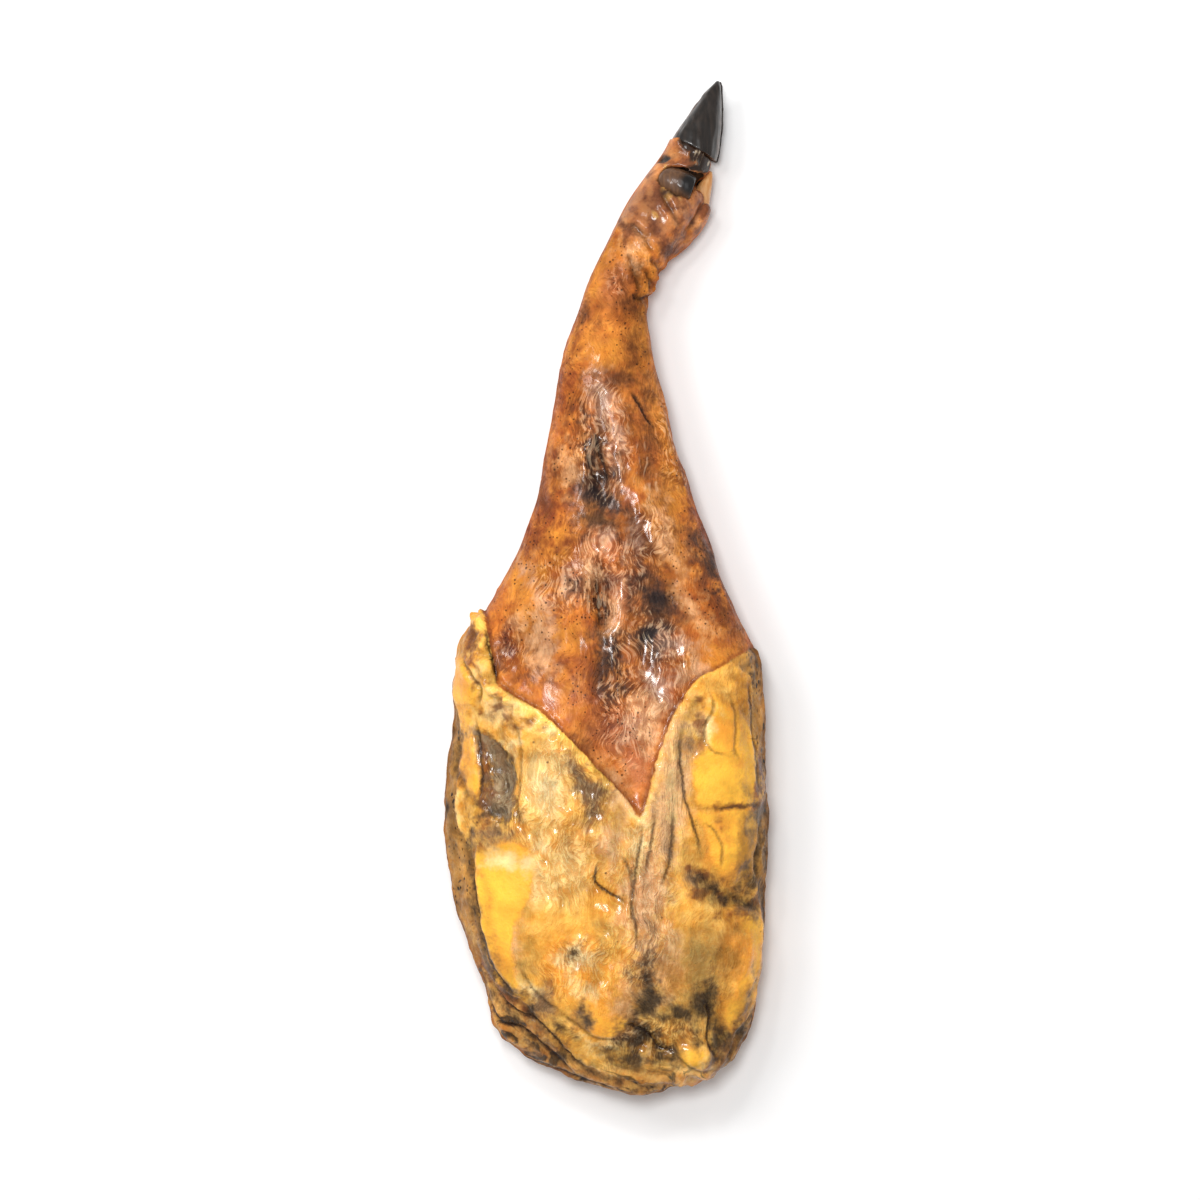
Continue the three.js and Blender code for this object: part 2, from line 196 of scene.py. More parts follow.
def rounded(line, closed=False, steps=4):
    # a smooth curve through the given points
    line = np.asarray(line, float)
    if closed:
        before, after, far = np.roll(line, 1, 0), np.roll(line, -1, 0), np.roll(line, -2, 0)
    else:
        grown = np.vstack([2 * line[0] - line[1], line, 2 * line[-1] - line[-2]])
        before, line, after, far = grown[:-3], grown[1:-2], grown[2:-1], grown[3:]
    first, second = after - before, 2 * before - 5 * line + 4 * after - far
    third = 3 * line - before - 3 * after + far
    made = [0.5 * (2 * line + first * t + second * t ** 2 + third * t ** 3) for t in np.arange(steps) / steps]
    curve = np.stack(made, 1).reshape(-1, 2)
    return curve if closed else np.vstack([curve, after[-1]])


def inside(loop, plan):
    # mm inside a closed outline, and below zero outside it
    loop = np.asarray(loop, float)
    result = np.full(len(plan), -reach)
    near = np.all((plan > loop.min(0) - reach) & (plan < loop.max(0) + reach), axis=1)
    spots = plan[near]
    x, y = spots.T
    least = np.full(len(spots), reach)
    within = np.zeros(len(spots), bool)
    for a, b in zip(loop, np.roll(loop, -1, 0)):
        run = b - a
        share = np.clip((spots - a) @ run / max(run @ run, 1e-9), 0, 1)
        least = np.minimum(least, np.hypot(*(spots - a - share[:, None] * run).T))
        if a[1] != b[1]:
            within ^= ((a[1] > y) != (b[1] > y)) & (x < run[0] * (y - a[1]) / run[1] + a[0])
    result[near] = np.where(within, least, -least)
    return result


def besideLine(line, plan):
    # signed distance to an open line, and how far along it the nearest place is, from 0 to 1
    lengths = np.r_[0, np.cumsum(np.hypot(*np.diff(line, axis=0).T))]
    least = np.full(len(plan), 1e9)
    side = np.ones(len(plan))
    along = np.zeros(len(plan))
    for i, (a, b) in enumerate(zip(line[:-1], line[1:])):
        run = b - a
        share = np.clip((plan - a) @ run / max(run @ run, 1e-9), 0, 1)
        off = plan - a - share[:, None] * run
        away = np.hypot(*off.T)
        nearer = away < least
        least[nearer] = away[nearer]
        side[nearer] = np.sign(run[0] * off[nearer, 1] - run[1] * off[nearer, 0])
        along[nearer] = (lengths[i] + share[nearer] * (lengths[i + 1] - lengths[i])) / lengths[-1]
    return least * np.where(side == 0, 1, side), along


def spreadFrom(plan, x, y, wide, long, turn=0):
    # how far out from the middle of an oval each place is, where 1 is its rim
    dx, dy = (plan - (x, y)).T
    c, s = math.cos(math.radians(turn)), math.sin(math.radians(turn))
    return np.hypot((dx * c + dy * s) / wide, (dy * c - dx * s) / long)


def dabbed(dabs, plan):
    # mm inside the nearest oval
    most = np.full(len(plan), -reach)
    for x, y, wide, long, *turn in dabs:
        most = np.maximum(most, (1 - spreadFrom(plan, x, y, wide, long, *turn)) * min(wide, long))
    return most


def fineCopy(node, name, voxel):
    # the solid of a node again, as an even fine mesh
    coarse = linked(name + "_coarse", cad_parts[node].data.copy())
    coarse.data.materials.clear()
    even = coarse.modifiers.new("even", "REMESH")
    even.mode = "VOXEL"
    even.voxel_size = voxel * mm
    even.use_smooth_shade = True
    seen = bpy.context.evaluated_depsgraph_get()
    mesh = bpy.data.meshes.new_from_object(coarse.evaluated_get(seen))
    mesh.name = name
    bpy.data.objects.remove(coarse)
    return linked(name, mesh)


def finer(mesh, past):
    # splits the faces past a given Y in four, for the small forms of the foot
    work = bmesh.new()
    work.from_mesh(mesh)
    edges = [edge for edge in work.edges if min(vert.co.y for vert in edge.verts) > past * mm]
    bmesh.ops.subdivide_edges(work, edges=edges, cuts=1, use_grid_fill=True)
    work.to_mesh(mesh)
    work.free()
    mesh.shade_smooth()


def readPoints(mesh):
    points = np.empty(len(mesh.vertices) * 3)
    mesh.vertices.foreach_get("co", points)
    return points.reshape(-1, 3) / mm


def writePoints(mesh, points):
    mesh.vertices.foreach_set("co", (points * mm).ravel())
    mesh.update()


def outward(mesh, points):
    # the way out of the surface at each point
    writePoints(mesh, points)
    normals = np.empty(len(mesh.vertices) * 3)
    mesh.vertices.foreach_get("normal", normals)
    return normals.reshape(-1, 3)


def relaxed(mesh, points, times, hold=None):
    # each point drifts to the middle of its neighbours, which takes facets away
    edges = np.empty(len(mesh.edges) * 2, np.int64)
    mesh.edges.foreach_get("vertices", edges)
    a, b = edges.reshape(-1, 2).T
    ends, others = np.r_[a, b], np.r_[b, a]
    count = np.bincount(ends, minlength=len(points))[:, None]
    pull = 0.5 if hold is None else 0.5 * (1 - hold[:, None])
    for _ in range(times):
        total = np.stack([np.bincount(ends, column[others], len(points)) for column in points.T], axis=1)
        points = points + (total / count - points) * pull
    return points


def drawnTo(points, normals, distance, plan, within):
    # moves the points nearest to an outline onto it, so that an edge there comes out clean
    step = 0.5
    slope = np.stack([distance(plan + (step, 0)) - distance(plan - (step, 0)),
                      distance(plan + (0, step)) - distance(plan - (0, step))], axis=1) / (2 * step)
    off = distance(plan)
    near = (np.abs(off) < within) & (normals[:, 2] > 0.35)
    move = np.zeros_like(points)
    move[near, :2] = -off[near, None] * slope[near]
    move -= normals * np.sum(move * normals, axis=1)[:, None]
    return points + move


def attribute(mesh, name, values):
    mesh.attributes.new(name, "FLOAT", "POINT").data.foreach_set("value", values.astype(np.float32))


shoulder = {
    "voxel": 1.83,
    "footFrom": 232,       # from here to the hoof the mesh is twice as fine
    "smoothing": 22,       # rounds of relaxing, which melt the 10 mm facets
    "lip": 1.8,            # the fat's swollen lip along the cut rind
    "groove": 1.3,
    "lipWidth": 4.5,
    "knobSize": 5.5,       # lumps along its left arm
    "knobHeight": 4.2,
    "flankStep": 1.5,
    "plate": 0.8,          # clean fat stands proud of the wrinkled crust
    "window": 1.5,         # lean meat has shrunk below the fat
    "charred": 1.0,
    "shrivel": 1.0,
    "furrow": 0.9,
    "waves": 1.2,
    "crust": 0.8,
    "strata": 2.0,
    "pit": 2.0,
    "gristle": 0.7,
}

rindEdge = [
    (-96, -20), (-77, -17), (-75, -30), (-71, -47), (-69, -61), (-60, -68), (-44, -77), (-27, -93),
    (-14, -105), (2, -122), (14, -134), (21, -146), (26, -129), (31, -112), (38, -92), (46, -75), (55, -62),
    (66, -54), (78, -47), (92, -40), (104, -36),
]
flankEdge = [
    (-92, -40), (-97, -66), (-94, -82), (-92, -102), (-94, -115), (-94, -128), (-96, -140), (-93, -152),
    (-86, -166), (-83, -190), (-81, -205), (-78, -224), (-73, -240), (-64, -254), (-52, -263), (-40, -277),
    (-27, -291), (-12, -303), (8, -312), (40, -316),
]
rightStrip = [
    (70, -44), (80, -50), (89, -56), (92, -68), (93, -88), (96, -109), (98, -124), (98, -138), (96, -153),
    (94, -168), (95, -184), (98, -196), (99, -210), (99, -225), (98, -240), (97, -254), (92, -270),
    (84, -282), (80, -296), (70, -310),
]
# What can be seen where. Each tint has ovals, strokes and outlines in plan. Soft is how gently it ends,
# ragged how far its edge wanders, and veins how much further it runs in the wrinkles. Its two colours are
# mottled together. An oval is x, y, half its width, half its length and its turn in degrees, if any.
rindTints = {
    "honey": {
        "colours": ("e2993c", "cc7a26"), "soft": 8, "ragged": 5, "strength": 0.95,
        "dabs": [(-36, -27, 18, 8, -20), (36, 44, 11, 15, 10), (45, 65, 6, 10, 15), (-18, 150, 6, 10),
            (-2, 148, 10, 10), (15, 214, 9, 6, -20), (-4, 201, 5, 14, -20), (27, 166, 4, 20),
            (34, 113, 5, 23, 12), (10, 236, 6, 4, 30), (-52, 4, 10, 12, 30), (70, -48, 14, 9),
            (-30, 30, 6, 14, -10), (-39, -40, 8, 15, 15), (-44, 6, 6, 12, 25), (39, 29, 7, 12, 20),
            (16, 214, 5, 6, -20), (55, -50, 8, 8)],
    },
    "rose": {
        "colours": ("c07048", "c8794f"), "soft": 8, "ragged": 5, "strength": 0.85,
        "dabs": [(-1, 24, 14, 12), (5, 191, 6, 12, 8), (10, -7, 6, 14), (-20, 7, 6, 7),
            (30, -70, 13, 20, -12), (18, -112, 9, 16), (4, -90, 12, 16)],
    },
    "blush": {
        "colours": ("8a3f20", "6a2c19"), "soft": 8, "ragged": 7, "strength": 0.85, "veins": 3,
        "dabs": [(-38, 50, 11, 15, -10), (-64, -34, 7, 12), (-47, -52, 8, 8), (-25, 25, 6, 12),
            (-46, 32, 7, 10), (-22, 62, 6, 18), (4, 2, 18, 5), (30, 28, 7, 16, 30), (-20, 130, 4, 30, -6),
            (66, -10, 6, 22, 25), (-8, -60, 8, 26, 10)],
        "strokes": [(3, [(-48, 34), (-36, 60), (-29, 90), (-23, 120)]), (3.5, [(46, 70), (54, 50), (66, 24),
            (84, -14)]), (2, [(-30, -8), (-34, -28), (-26, -50), (-14, -70)]), (3, [(14, 60), (22, 30),
            (24, 0)])],
    },
    "umber": {
        "colours": ("844a22", "4e2814"), "soft": 8, "ragged": 6, "strength": 0.88, "veins": 4,
        "dabs": [(12, 131, 22, 8, -5), (14, 176, 12, 9), (15, 195, 8, 10), (20, 152, 8, 18),
            (27, 85, 7, 26, 8), (17, 40, 8, 12), (74, -18, 6, 22, 28), (-15, -98, 7, 8), (-3, -14, 7, 24),
            (-13, 169, 7, 9), (22, 117, 7, 17, -25), (28, 22, 9, 16, 30), (-17, 96, 5, 24, -6),
            (-2, -54, 9, 18), (30, -42, 10, 9), (12, -62, 7, 8), (42, 217, 5, 7, -30)],
        "strokes": [(1.6, [(20, 122), (27, 104), (33, 90)]), (2.2, [(26, 92), (28, 74), (32, 58)]),
            (2.0, [(16, 44), (24, 24), (34, 4)]), (1.6, [(8, 30), (14, 10), (16, -8)]), (1.2, [(34, 60),
            (44, 36), (52, 16)]), (3.0, [(70, 24), (80, 0), (88, -20)]), (1.6, [(-22, 120), (-28, 80),
            (-40, 40)]), (0.9, [(12, 232), (20, 226), (30, 222), (38, 226)])],
    },
    "paintedSheen": {
        # painted sheen: pale grey-pink patches where the surface would shine
        "colours": ("bd8f72", "cfaa93"), "soft": 7, "ragged": 7, "strength": 0.72,
        "dabs": [(-2, 113, 9, 18, 5), (5, 92, 6, 19), (34, -66, 10, 14, 10), (0, 30, 7, 5), (-20, 0, 5, 8),
            (40, -38, 12, 8), (-42, -4, 4, 14, 20), (4, -4, 4, 12), (19, -89, 9, 15, -6), (-10, 9, 7, 8),
            (-39, -36, 7, 13, 12), (48, -57, 6, 5), (3, -13, 3, 8), (56, -52, 7, 8), (16, 30, 4, 8)],
    },
    "smoke": {
        "colours": ("704b35", "352820"), "soft": 9, "ragged": 6, "strength": 0.88, "veins": 3,
        "dabs": [(-17, -4, 8, 6, 20), (-43, -50, 4, 6), (-72, -50, 2, 6, -15), (-7, 60, 15, 15),
            (-6, 44, 12, 14), (34, -12, 15, 20, 20), (3, -44, 7, 20), (16, -8, 7, 10), (62, 20, 7, 18, 30),
            (28, -34, 13, 10), (-7, 88, 6, 18, 8)],
        "strokes": [(1.4, [(-13, 104), (-10, 84), (-5, 70), (-1, 58)]), (1.2, [(-4, 100), (-3, 84), (0, 72),
            (2, 60)]), (1.2, [(-18, 84), (-13, 74), (-6, 64)]), (1.0, [(6, 82), (4, 70), (2, 60)])],
        "loops": [
            [(-15, 69), (-3, 75), (6, 69), (10, 60), (6, 45), (0, 38), (-12, 37), (-17, 42), (-16, 52),
             (-21, 59)],
            [(-11, 102), (-7, 88), (-2, 74), (-8, 70), (-11, 85)],
            [(16, 8), (28, 11), (37, 2), (45, -7), (48, -20), (51, -27), (41, -34), (28, -31), (18, -17),
             (15, -4)],
            [(52, 32), (59, 31), (65, 20), (71, 8), (68, 2), (61, 10), (55, 22)],
        ],
    },
    "soot": {
        # the blackest middles of the smoky patches
        "colours": ("3a2e2b", "141419"), "soft": 6, "ragged": 6, "strength": 0.85, "veins": 3,
        "dabs": [(-6, 59, 9, 8), (5, 60, 4, 14, 5), (-9, 80, 3, 16, 8), (33, -8, 9, 9, 20), (6, -44, 5, 16),
            (-14, -4, 6, 3, 20), (66, 10, 3, 10, 28), (29, -32, 10, 8), (0, -36, 5, 9), (-1, 62, 6, 9),
            (-4, -8, 3, 12)],
    },
    "paintedHighlight": {
        # painted highlights: pale orange patches on the knob, the shoulder and the wrist
        "colours": ("dd9a5e", "f0b582"), "soft": 7, "ragged": 7, "strength": 0.85,
        "dabs": [(-42, -35, 7, 16, 12), (-12, 8, 8, 9), (-6, 20, 5, 5), (19, -76, 7, 8),
            (15, 229, 5, 3, -20), (3, -13, 3, 8), (17, 205, 4, 5), (55, -14, 5, 14, 25),
            (38, 34, 6, 18, 20), (16, 213, 6, 7, -20), (16, 226, 6, 4), (-22, 74, 4, 10, -6),
            (27, -84, 10, 18, -8), (54, -52, 7, 7), (-54, -26, 6, 5), (30, 243, 2, 7, -30),
            (50, 233, 5, 2, -30), (36, 262, 2, 6, -30), (3, -120, 4, 6)],
    },
    "hide": {
        "colours": ("be8052", "a2683d"), "soft": 7, "ragged": 6, "strength": 0.85,
        "dabs": [(30, 240, 17, 24, -35), (50, 252, 14, 26, -30), (40, 274, 6, 10, -30)],
    },
    "russet": {
        "colours": ("8a4e2c", "5a2d19"), "soft": 3.5, "ragged": 4, "strength": 0.88,
        "dabs": [(53, 231, 8, 5, -30), (37, 247, 5, 11, -30), (30, 228, 4, 8, -20), (60, 241, 6, 7, -30),
            (45, 259, 4, 3), (38, 212, 9, 7, -20), (52, 273, 9, 4, -20), (47, 224, 5, 6, -20),
            (49, 278, 6, 4, -20), (44, 270, 6, 3, -30), (44, 238, 5, 4), (14, 224, 4, 10, -20),
            (66, 252, 2, 6, -20)],
        "strokes": [(1.6, [(8, 233), (16, 228), (28, 224), (38, 228)]), (1.6, [(26, 250), (30, 240),
            (36, 232)]), (1.6, [(42, 226), (52, 240), (60, 250)]), (1.2, [(30, 262), (33, 252), (40, 243),
            (48, 238)]), (1.2, [(20, 240), (26, 232), (34, 228)])],
    },
    "gristle": {
        "colours": ("e0ac62", "c0853c"), "soft": 1.0, "ragged": 0.8, "strength": 0.85,
        "dabs": [(57, 262, 0.9, 0.9), (63, 258, 1, 0.8), (52, 246.5, 1.4, 1), (69, 271, 0.7, 1.2),
            (60, 265, 0.7, 0.6), (39, 250, 1.2, 2.2), (41, 245, 1.2, 3.2, -30), (46.5, 244, 1, 1.6),
            (33, 233, 1.6, 2.4)],
        "strokes": [(0.5, [(63, 262), (66, 256), (69, 250)]), (0.4, [(38, 268), (37.5, 260), (38, 252)])],
    },
    "pit": {
        # painted shade in the split and hollows behind the claw, and the dark foot of its horn
        "colours": ("3a2a1e", "1a1411"), "soft": 1.6, "ragged": 1.2, "strength": 0.97,
        "dabs": [(37, 274, 3.4, 3.0), (47.5, 264.5, 3.6, 3, 20), (57, 258, 5, 4, 40),
            (46, 246.5, 4, 2.2, 10), (57, 266, 6, 4, -20), (50, 264, 4, 2.4, -20), (64, 261, 4, 5),
            (66, 273, 8, 8, -20), (59, 279, 6, 8, -30), (63, 266, 6, 5), (53, 284, 6, 7, -20),
            (53, 259, 4, 4), (49, 253, 5, 4, 20), (45, 247.5, 5, 2.6, 10), (70, 270, 6, 6),
            (46, 290, 6, 4, -20)],
    },
    "scrape": {
        # pale scratches where the horn is worn
        "colours": ("8d7a62", "c9b89f"), "soft": 0.5, "ragged": 0.7, "strength": 0.7,
        "strokes": [(0.5, [(57.5, 268), (59.5, 274), (62, 281)]), (0.4, [(60.5, 268), (63, 274),
            (64.5, 280)]), (0.4, [(55.8, 270), (57.4, 275)]), (0.4, [(67, 268), (69, 273)])],
    },
}
fatTints = {
    "cream": {
        "colours": ("f8c673", "fdd58a"), "soft": 8, "ragged": 6, "strength": 0.9,
        "dabs": [(-39, -125, 17, 29), (-68, -78, 9, 9, -20), (-49, -185, 19, 17), (-23, -172, 13, 19),
            (-30, -110, 14, 14, 40)],
    },
    "amber": {
        "colours": ("f4b850", "ee9f35"), "soft": 9, "ragged": 6, "strength": 0.85,
        "dabs": [(-23, -236, 24, 28), (-4, -262, 19, 16), (-55, -100, 8, 30), (-60, -66, 18, 6, -25)],
    },
    "lip": {
        "colours": ("e3942f", "fac35a"), "soft": 3, "ragged": 4, "strength": 0.9,
    },
    "tan": {
        "colours": ("e6b880", "dfae80"), "soft": 8, "ragged": 6, "strength": 0.85, "veins": 1,
        "dabs": [(10, -134, 8, 13), (39, -134, 14, 50, -8), (24, -198, 14, 46), (36, -236, 10, 26),
            (12, -268, 10, 20), (-62, -225, 6, 16), (2, -160, 8, 14)],
    },
    "haze": {
        "colours": ("b98c48", "80683c"), "soft": 12, "ragged": 7, "strength": 0.75, "veins": 2,
        "dabs": [(58, -238, 19, 26), (53, -262, 15, 14), (24, -255, 7, 19), (-52, -238, 5, 20, 10),
            (-2, -215, 4, 6)],
    },
    "butter": {
        "colours": ("e8952c", "fab93c"), "soft": 2.4, "ragged": 2.4, "strength": 0.97,
        "loops": [
            [(-83, -166), (-74, -165), (-64, -162), (-56, -161), (-46, -166), (-42, -176), (-46, -190),
             (-52, -204), (-56, -216), (-58, -228), (-56, -243), (-52, -260), (-64, -256), (-74, -246),
             (-80, -236), (-82, -222), (-84, -204), (-85, -186)],
            [(65, -69), (69, -68), (76, -76), (85, -80), (92, -88), (95, -102), (98, -112), (100, -124),
             (100, -138), (76, -140), (58, -138), (56, -128), (54, -118), (55, -106), (62, -98), (60, -88)],
            [(57, -140), (76, -140), (100, -139), (98, -150), (95, -162), (94, -172), (93, -180),
             (90, -184), (85, -187), (77, -187), (69, -181), (65, -172), (62, -160), (59, -150)],
            [(74, -270), (77, -261), (85, -260), (92, -257), (96, -260), (90, -266), (85, -272), (83, -277),
             (79, -282), (76, -279)],
            [(44, -291), (49, -290), (61, -292), (67, -293), (66, -301), (69, -304), (79, -301), (76, -310),
             (69, -313), (61, -313), (52, -308), (46, -302)],
            [(-96, -81), (-86, -78), (-83, -85), (-81, -100), (-78, -112), (-77, -126), (-82, -133),
             (-88, -129), (-91, -119), (-94, -115), (-91, -102), (-91, -88)],
            [(-98, -49), (-89, -46), (-83, -50), (-77, -58), (-70, -65), (-64, -71), (-69, -75), (-74, -74),
             (-80, -71), (-83, -77), (-91, -75), (-98, -69)],
            [(-20, -268), (-6, -270), (10, -271), (16, -275), (11, -281), (0, -287), (-10, -284),
             (-16, -278)],
            [(78, -204), (92, -203), (98, -210), (98, -230), (96, -246), (90, -256), (84, -262), (80, -252),
             (88, -240), (90, -226), (84, -214)],
        ],
    },
    "apricot": {
        "colours": ("e69a34", "d5832a"), "soft": 6, "ragged": 5, "strength": 0.7,
        "dabs": [(71, -304, 8, 5, 30), (73, -151, 5, 9), (72, -88, 9, 16, 10), (-6, -278, 15, 7, 5),
            (86, -232, 9, 22), (-88, -108, 6, 22), (62, -166, 5, 14), (80, -180, 10, 6),
            (-66, -236, 6, 14, 20), (-88, -62, 9, 9)],
        "strokes": [(1.2, [(62, -90), (70, -104), (82, -112)]), (1.2, [(60, -150), (72, -166), (70, -178)]),
            (1.2, [(84, -66), (80, -84), (88, -100)]), (1.0, [(-78, -180), (-72, -200), (-76, -220)])],
    },
    "tallowAndHighlight": {
        # pale fat, and a painted highlight on the top of the left plate
        "colours": ("f6cf84", "fde2a6"), "soft": 6, "ragged": 6, "strength": 0.75,
        "dabs": [(-63, -172, 10, 5), (-50, -173, 7, 6), (-67, -80, 8, 6, -20), (-60, -100, 4, 10),
            (-36, -128, 10, 12), (42, -124, 4, 14), (-18, -234, 10, 11), (-5, -290, 7, 4),
            (58, -308, 10, 4), (-45, -254, 6, 6), (-76, -56, 3, 3), (-70, -66, 4, 3), (-63, -73, 3, 3),
            (-57, -77, 3, 3), (-50, -81, 4, 3), (-43, -86, 3, 3), (-36, -92, 3, 3), (20, -154, 5, 14),
            (68, -306, 8, 4, 30), (42, -315, 12, 3), (-12, -256, 8, 6), (-40, -162, 7, 6),
            (-96, -142, 3, 8), (-80, -102, 3, 7), (62, -84, 4, 8)],
    },
    "toffee": {
        "colours": ("b97a30", "8f5c1e"), "soft": 8, "ragged": 6, "strength": 0.75, "veins": 2,
        "dabs": [(88, -166, 8, 24), (78, -184, 10, 6), (82, -62, 12, 4), (77, -234, 9, 22),
            (-83, -38, 5, 7), (-19, -158, 7, 9), (40, -247, 10, 9), (48, -287, 9, 6), (86, -80, 6, 10),
            (-74, -60, 5, 4), (80, -55, 9, 5), (82, -262, 5, 7), (11, -259, 6, 8), (88, -273, 5, 7),
            (94, -138, 4, 16)],
    },
}
# what has grown or dried on the fat and its crust
stains = {
    "mould": {
        "colours": ("977350", "55453a"), "soft": 7, "ragged": 5, "strength": 0.88, "veins": 3,
        "dabs": [(-39, -262, 9, 14), (-17, -273, 5, 5), (55, -185, 7, 8), (31, -140, 3, 9),
            (24, -232, 5, 18), (40, -168, 3, 14), (52, -100, 4, 10, -10)],
        "loops": [
            [(-26, -107), (-19, -103), (-12, -109), (-4, -122), (-1, -132), (-4, -147), (-12, -154),
             (-17, -147), (-19, -132), (-22, -121)],
            [(-83, -150), (-70, -151), (-61, -154), (-52, -159), (-60, -162), (-73, -165), (-83, -166)],
        ],
    },
    "lean": {
        "colours": ("6b4a34", "a8906e"), "soft": 3, "ragged": 4, "strength": 0.96, "veins": 3,
        "loops": [
            [(-82, -92), (-75, -90), (-69, -94), (-65, -102), (-61, -112), (-59, -124), (-57, -138),
             (-59, -147), (-69, -149), (-77, -144), (-80, -135), (-78, -124), (-77, -112), (-80, -100)],
        ],
    },
    "rustAndShade": {
        "colours": ("8a451a", "5f2b16"), "soft": 3, "ragged": 4, "strength": 0.8,
        # rust-brown stains, and small dabs of painted shade in the gaps between the knobs of the lip
        "dabs": [(82, -206, 13, 3), (59, -195, 7, 4), (-78, -124, 2.5, 22), (-80, -37, 4, 10, -10),
            (72, -144, 1.8, 3), (-74, -62, 1.6, 2), (-67, -71, 1.8, 1.6), (-60, -77, 1.6, 1.6),
            (-54, -81, 1.6, 1.6), (-46, -85, 1.6, 1.4), (-40, -91, 1.6, 1.4), (-79, -66, 2, 3),
            (-58, -86, 4, 1.6, -20), (-84, -84, 2, 4), (58, -84, 3, 12), (-70, -80, 6, 3, 20),
            (94, -200, 5, 6)],
        "strokes": [(1.6, [(56, -178), (64, -186), (76, -196), (92, -198)]), (0.6, [(70, -141), (83, -139),
            (98, -138)]), (0.8, [(97, -139), (96, -118), (93, -100)]), (1.0, [(-62, -86), (-68, -80),
            (-80, -79)]), (1.8, [(-78, -236), (-72, -250), (-60, -262), (-48, -272)]), (1.6, [(82, -282),
            (76, -298), (66, -306)])],
    },
    "char": {
        "colours": ("5d4830", "1f1913"), "soft": 7, "ragged": 6, "strength": 0.93, "veins": 3,
        "dabs": [(26, -247, 6, 15), (26, -264, 9, 10, -10), (-16, -272, 3, 4.5), (-68, -149, 8, 3),
            (87, -284, 7, 12), (22, -281, 16, 9), (29, -276, 8, 7), (59, -280, 5, 9),
            (46, -272, 16, 9, -20), (62, -264, 10, 13), (16, -296, 15, 8), (34, -296, 14, 8),
            (60, -288, 5, 8), (-28, -283, 5, 8, 40), (-68, -108, 4, 7), (-66, -128, 5, 9),
            (-72, -144, 8, 4), (18, -288, 14, 10), (30, -292, 12, 8), (90, -184, 7, 9),
            (78, -196, 14, 5, -6), (62, -186, 5, 6, 20), (-48, -266, 5, 9, 20), (94, -150, 4, 14),
            (-22, -232, 3, 4)],
        "strokes": [(1.8, [(-83, -190), (-82, -206), (-79, -224), (-71, -243), (-62, -255), (-50, -266),
            (-37, -278), (-24, -292), (-9, -307), (8, -314)]), (1.2, [(-72, -260), (-58, -276), (-44, -290),
            (-28, -302), (-10, -314)]), (0.8, [(-46, -302), (-31, -310), (-10, -318), (10, -322),
            (34, -320)]), (1.2, [(-93, -92), (-95, -112), (-91, -127), (-85, -137), (-84, -153),
            (-85, -190)]), (3.0, [(94, -146), (97, -170), (99, -190), (99, -206)]), (1.4, [(90, -268),
            (93, -256), (97, -246)]), (1.6, [(84, -282), (80, -296), (70, -308)])],
        "loops": [
            [(63, -270), (71, -269), (77, -280), (80, -289), (76, -298), (67, -305), (65, -295),
             (67, -283)],
            [(56, -178), (63, -180), (71, -188), (80, -196), (90, -196), (96, -188), (99, -160),
             (104, -160), (104, -193), (98, -206), (89, -206), (77, -203), (67, -197), (58, -188)],
        ],
    },
}
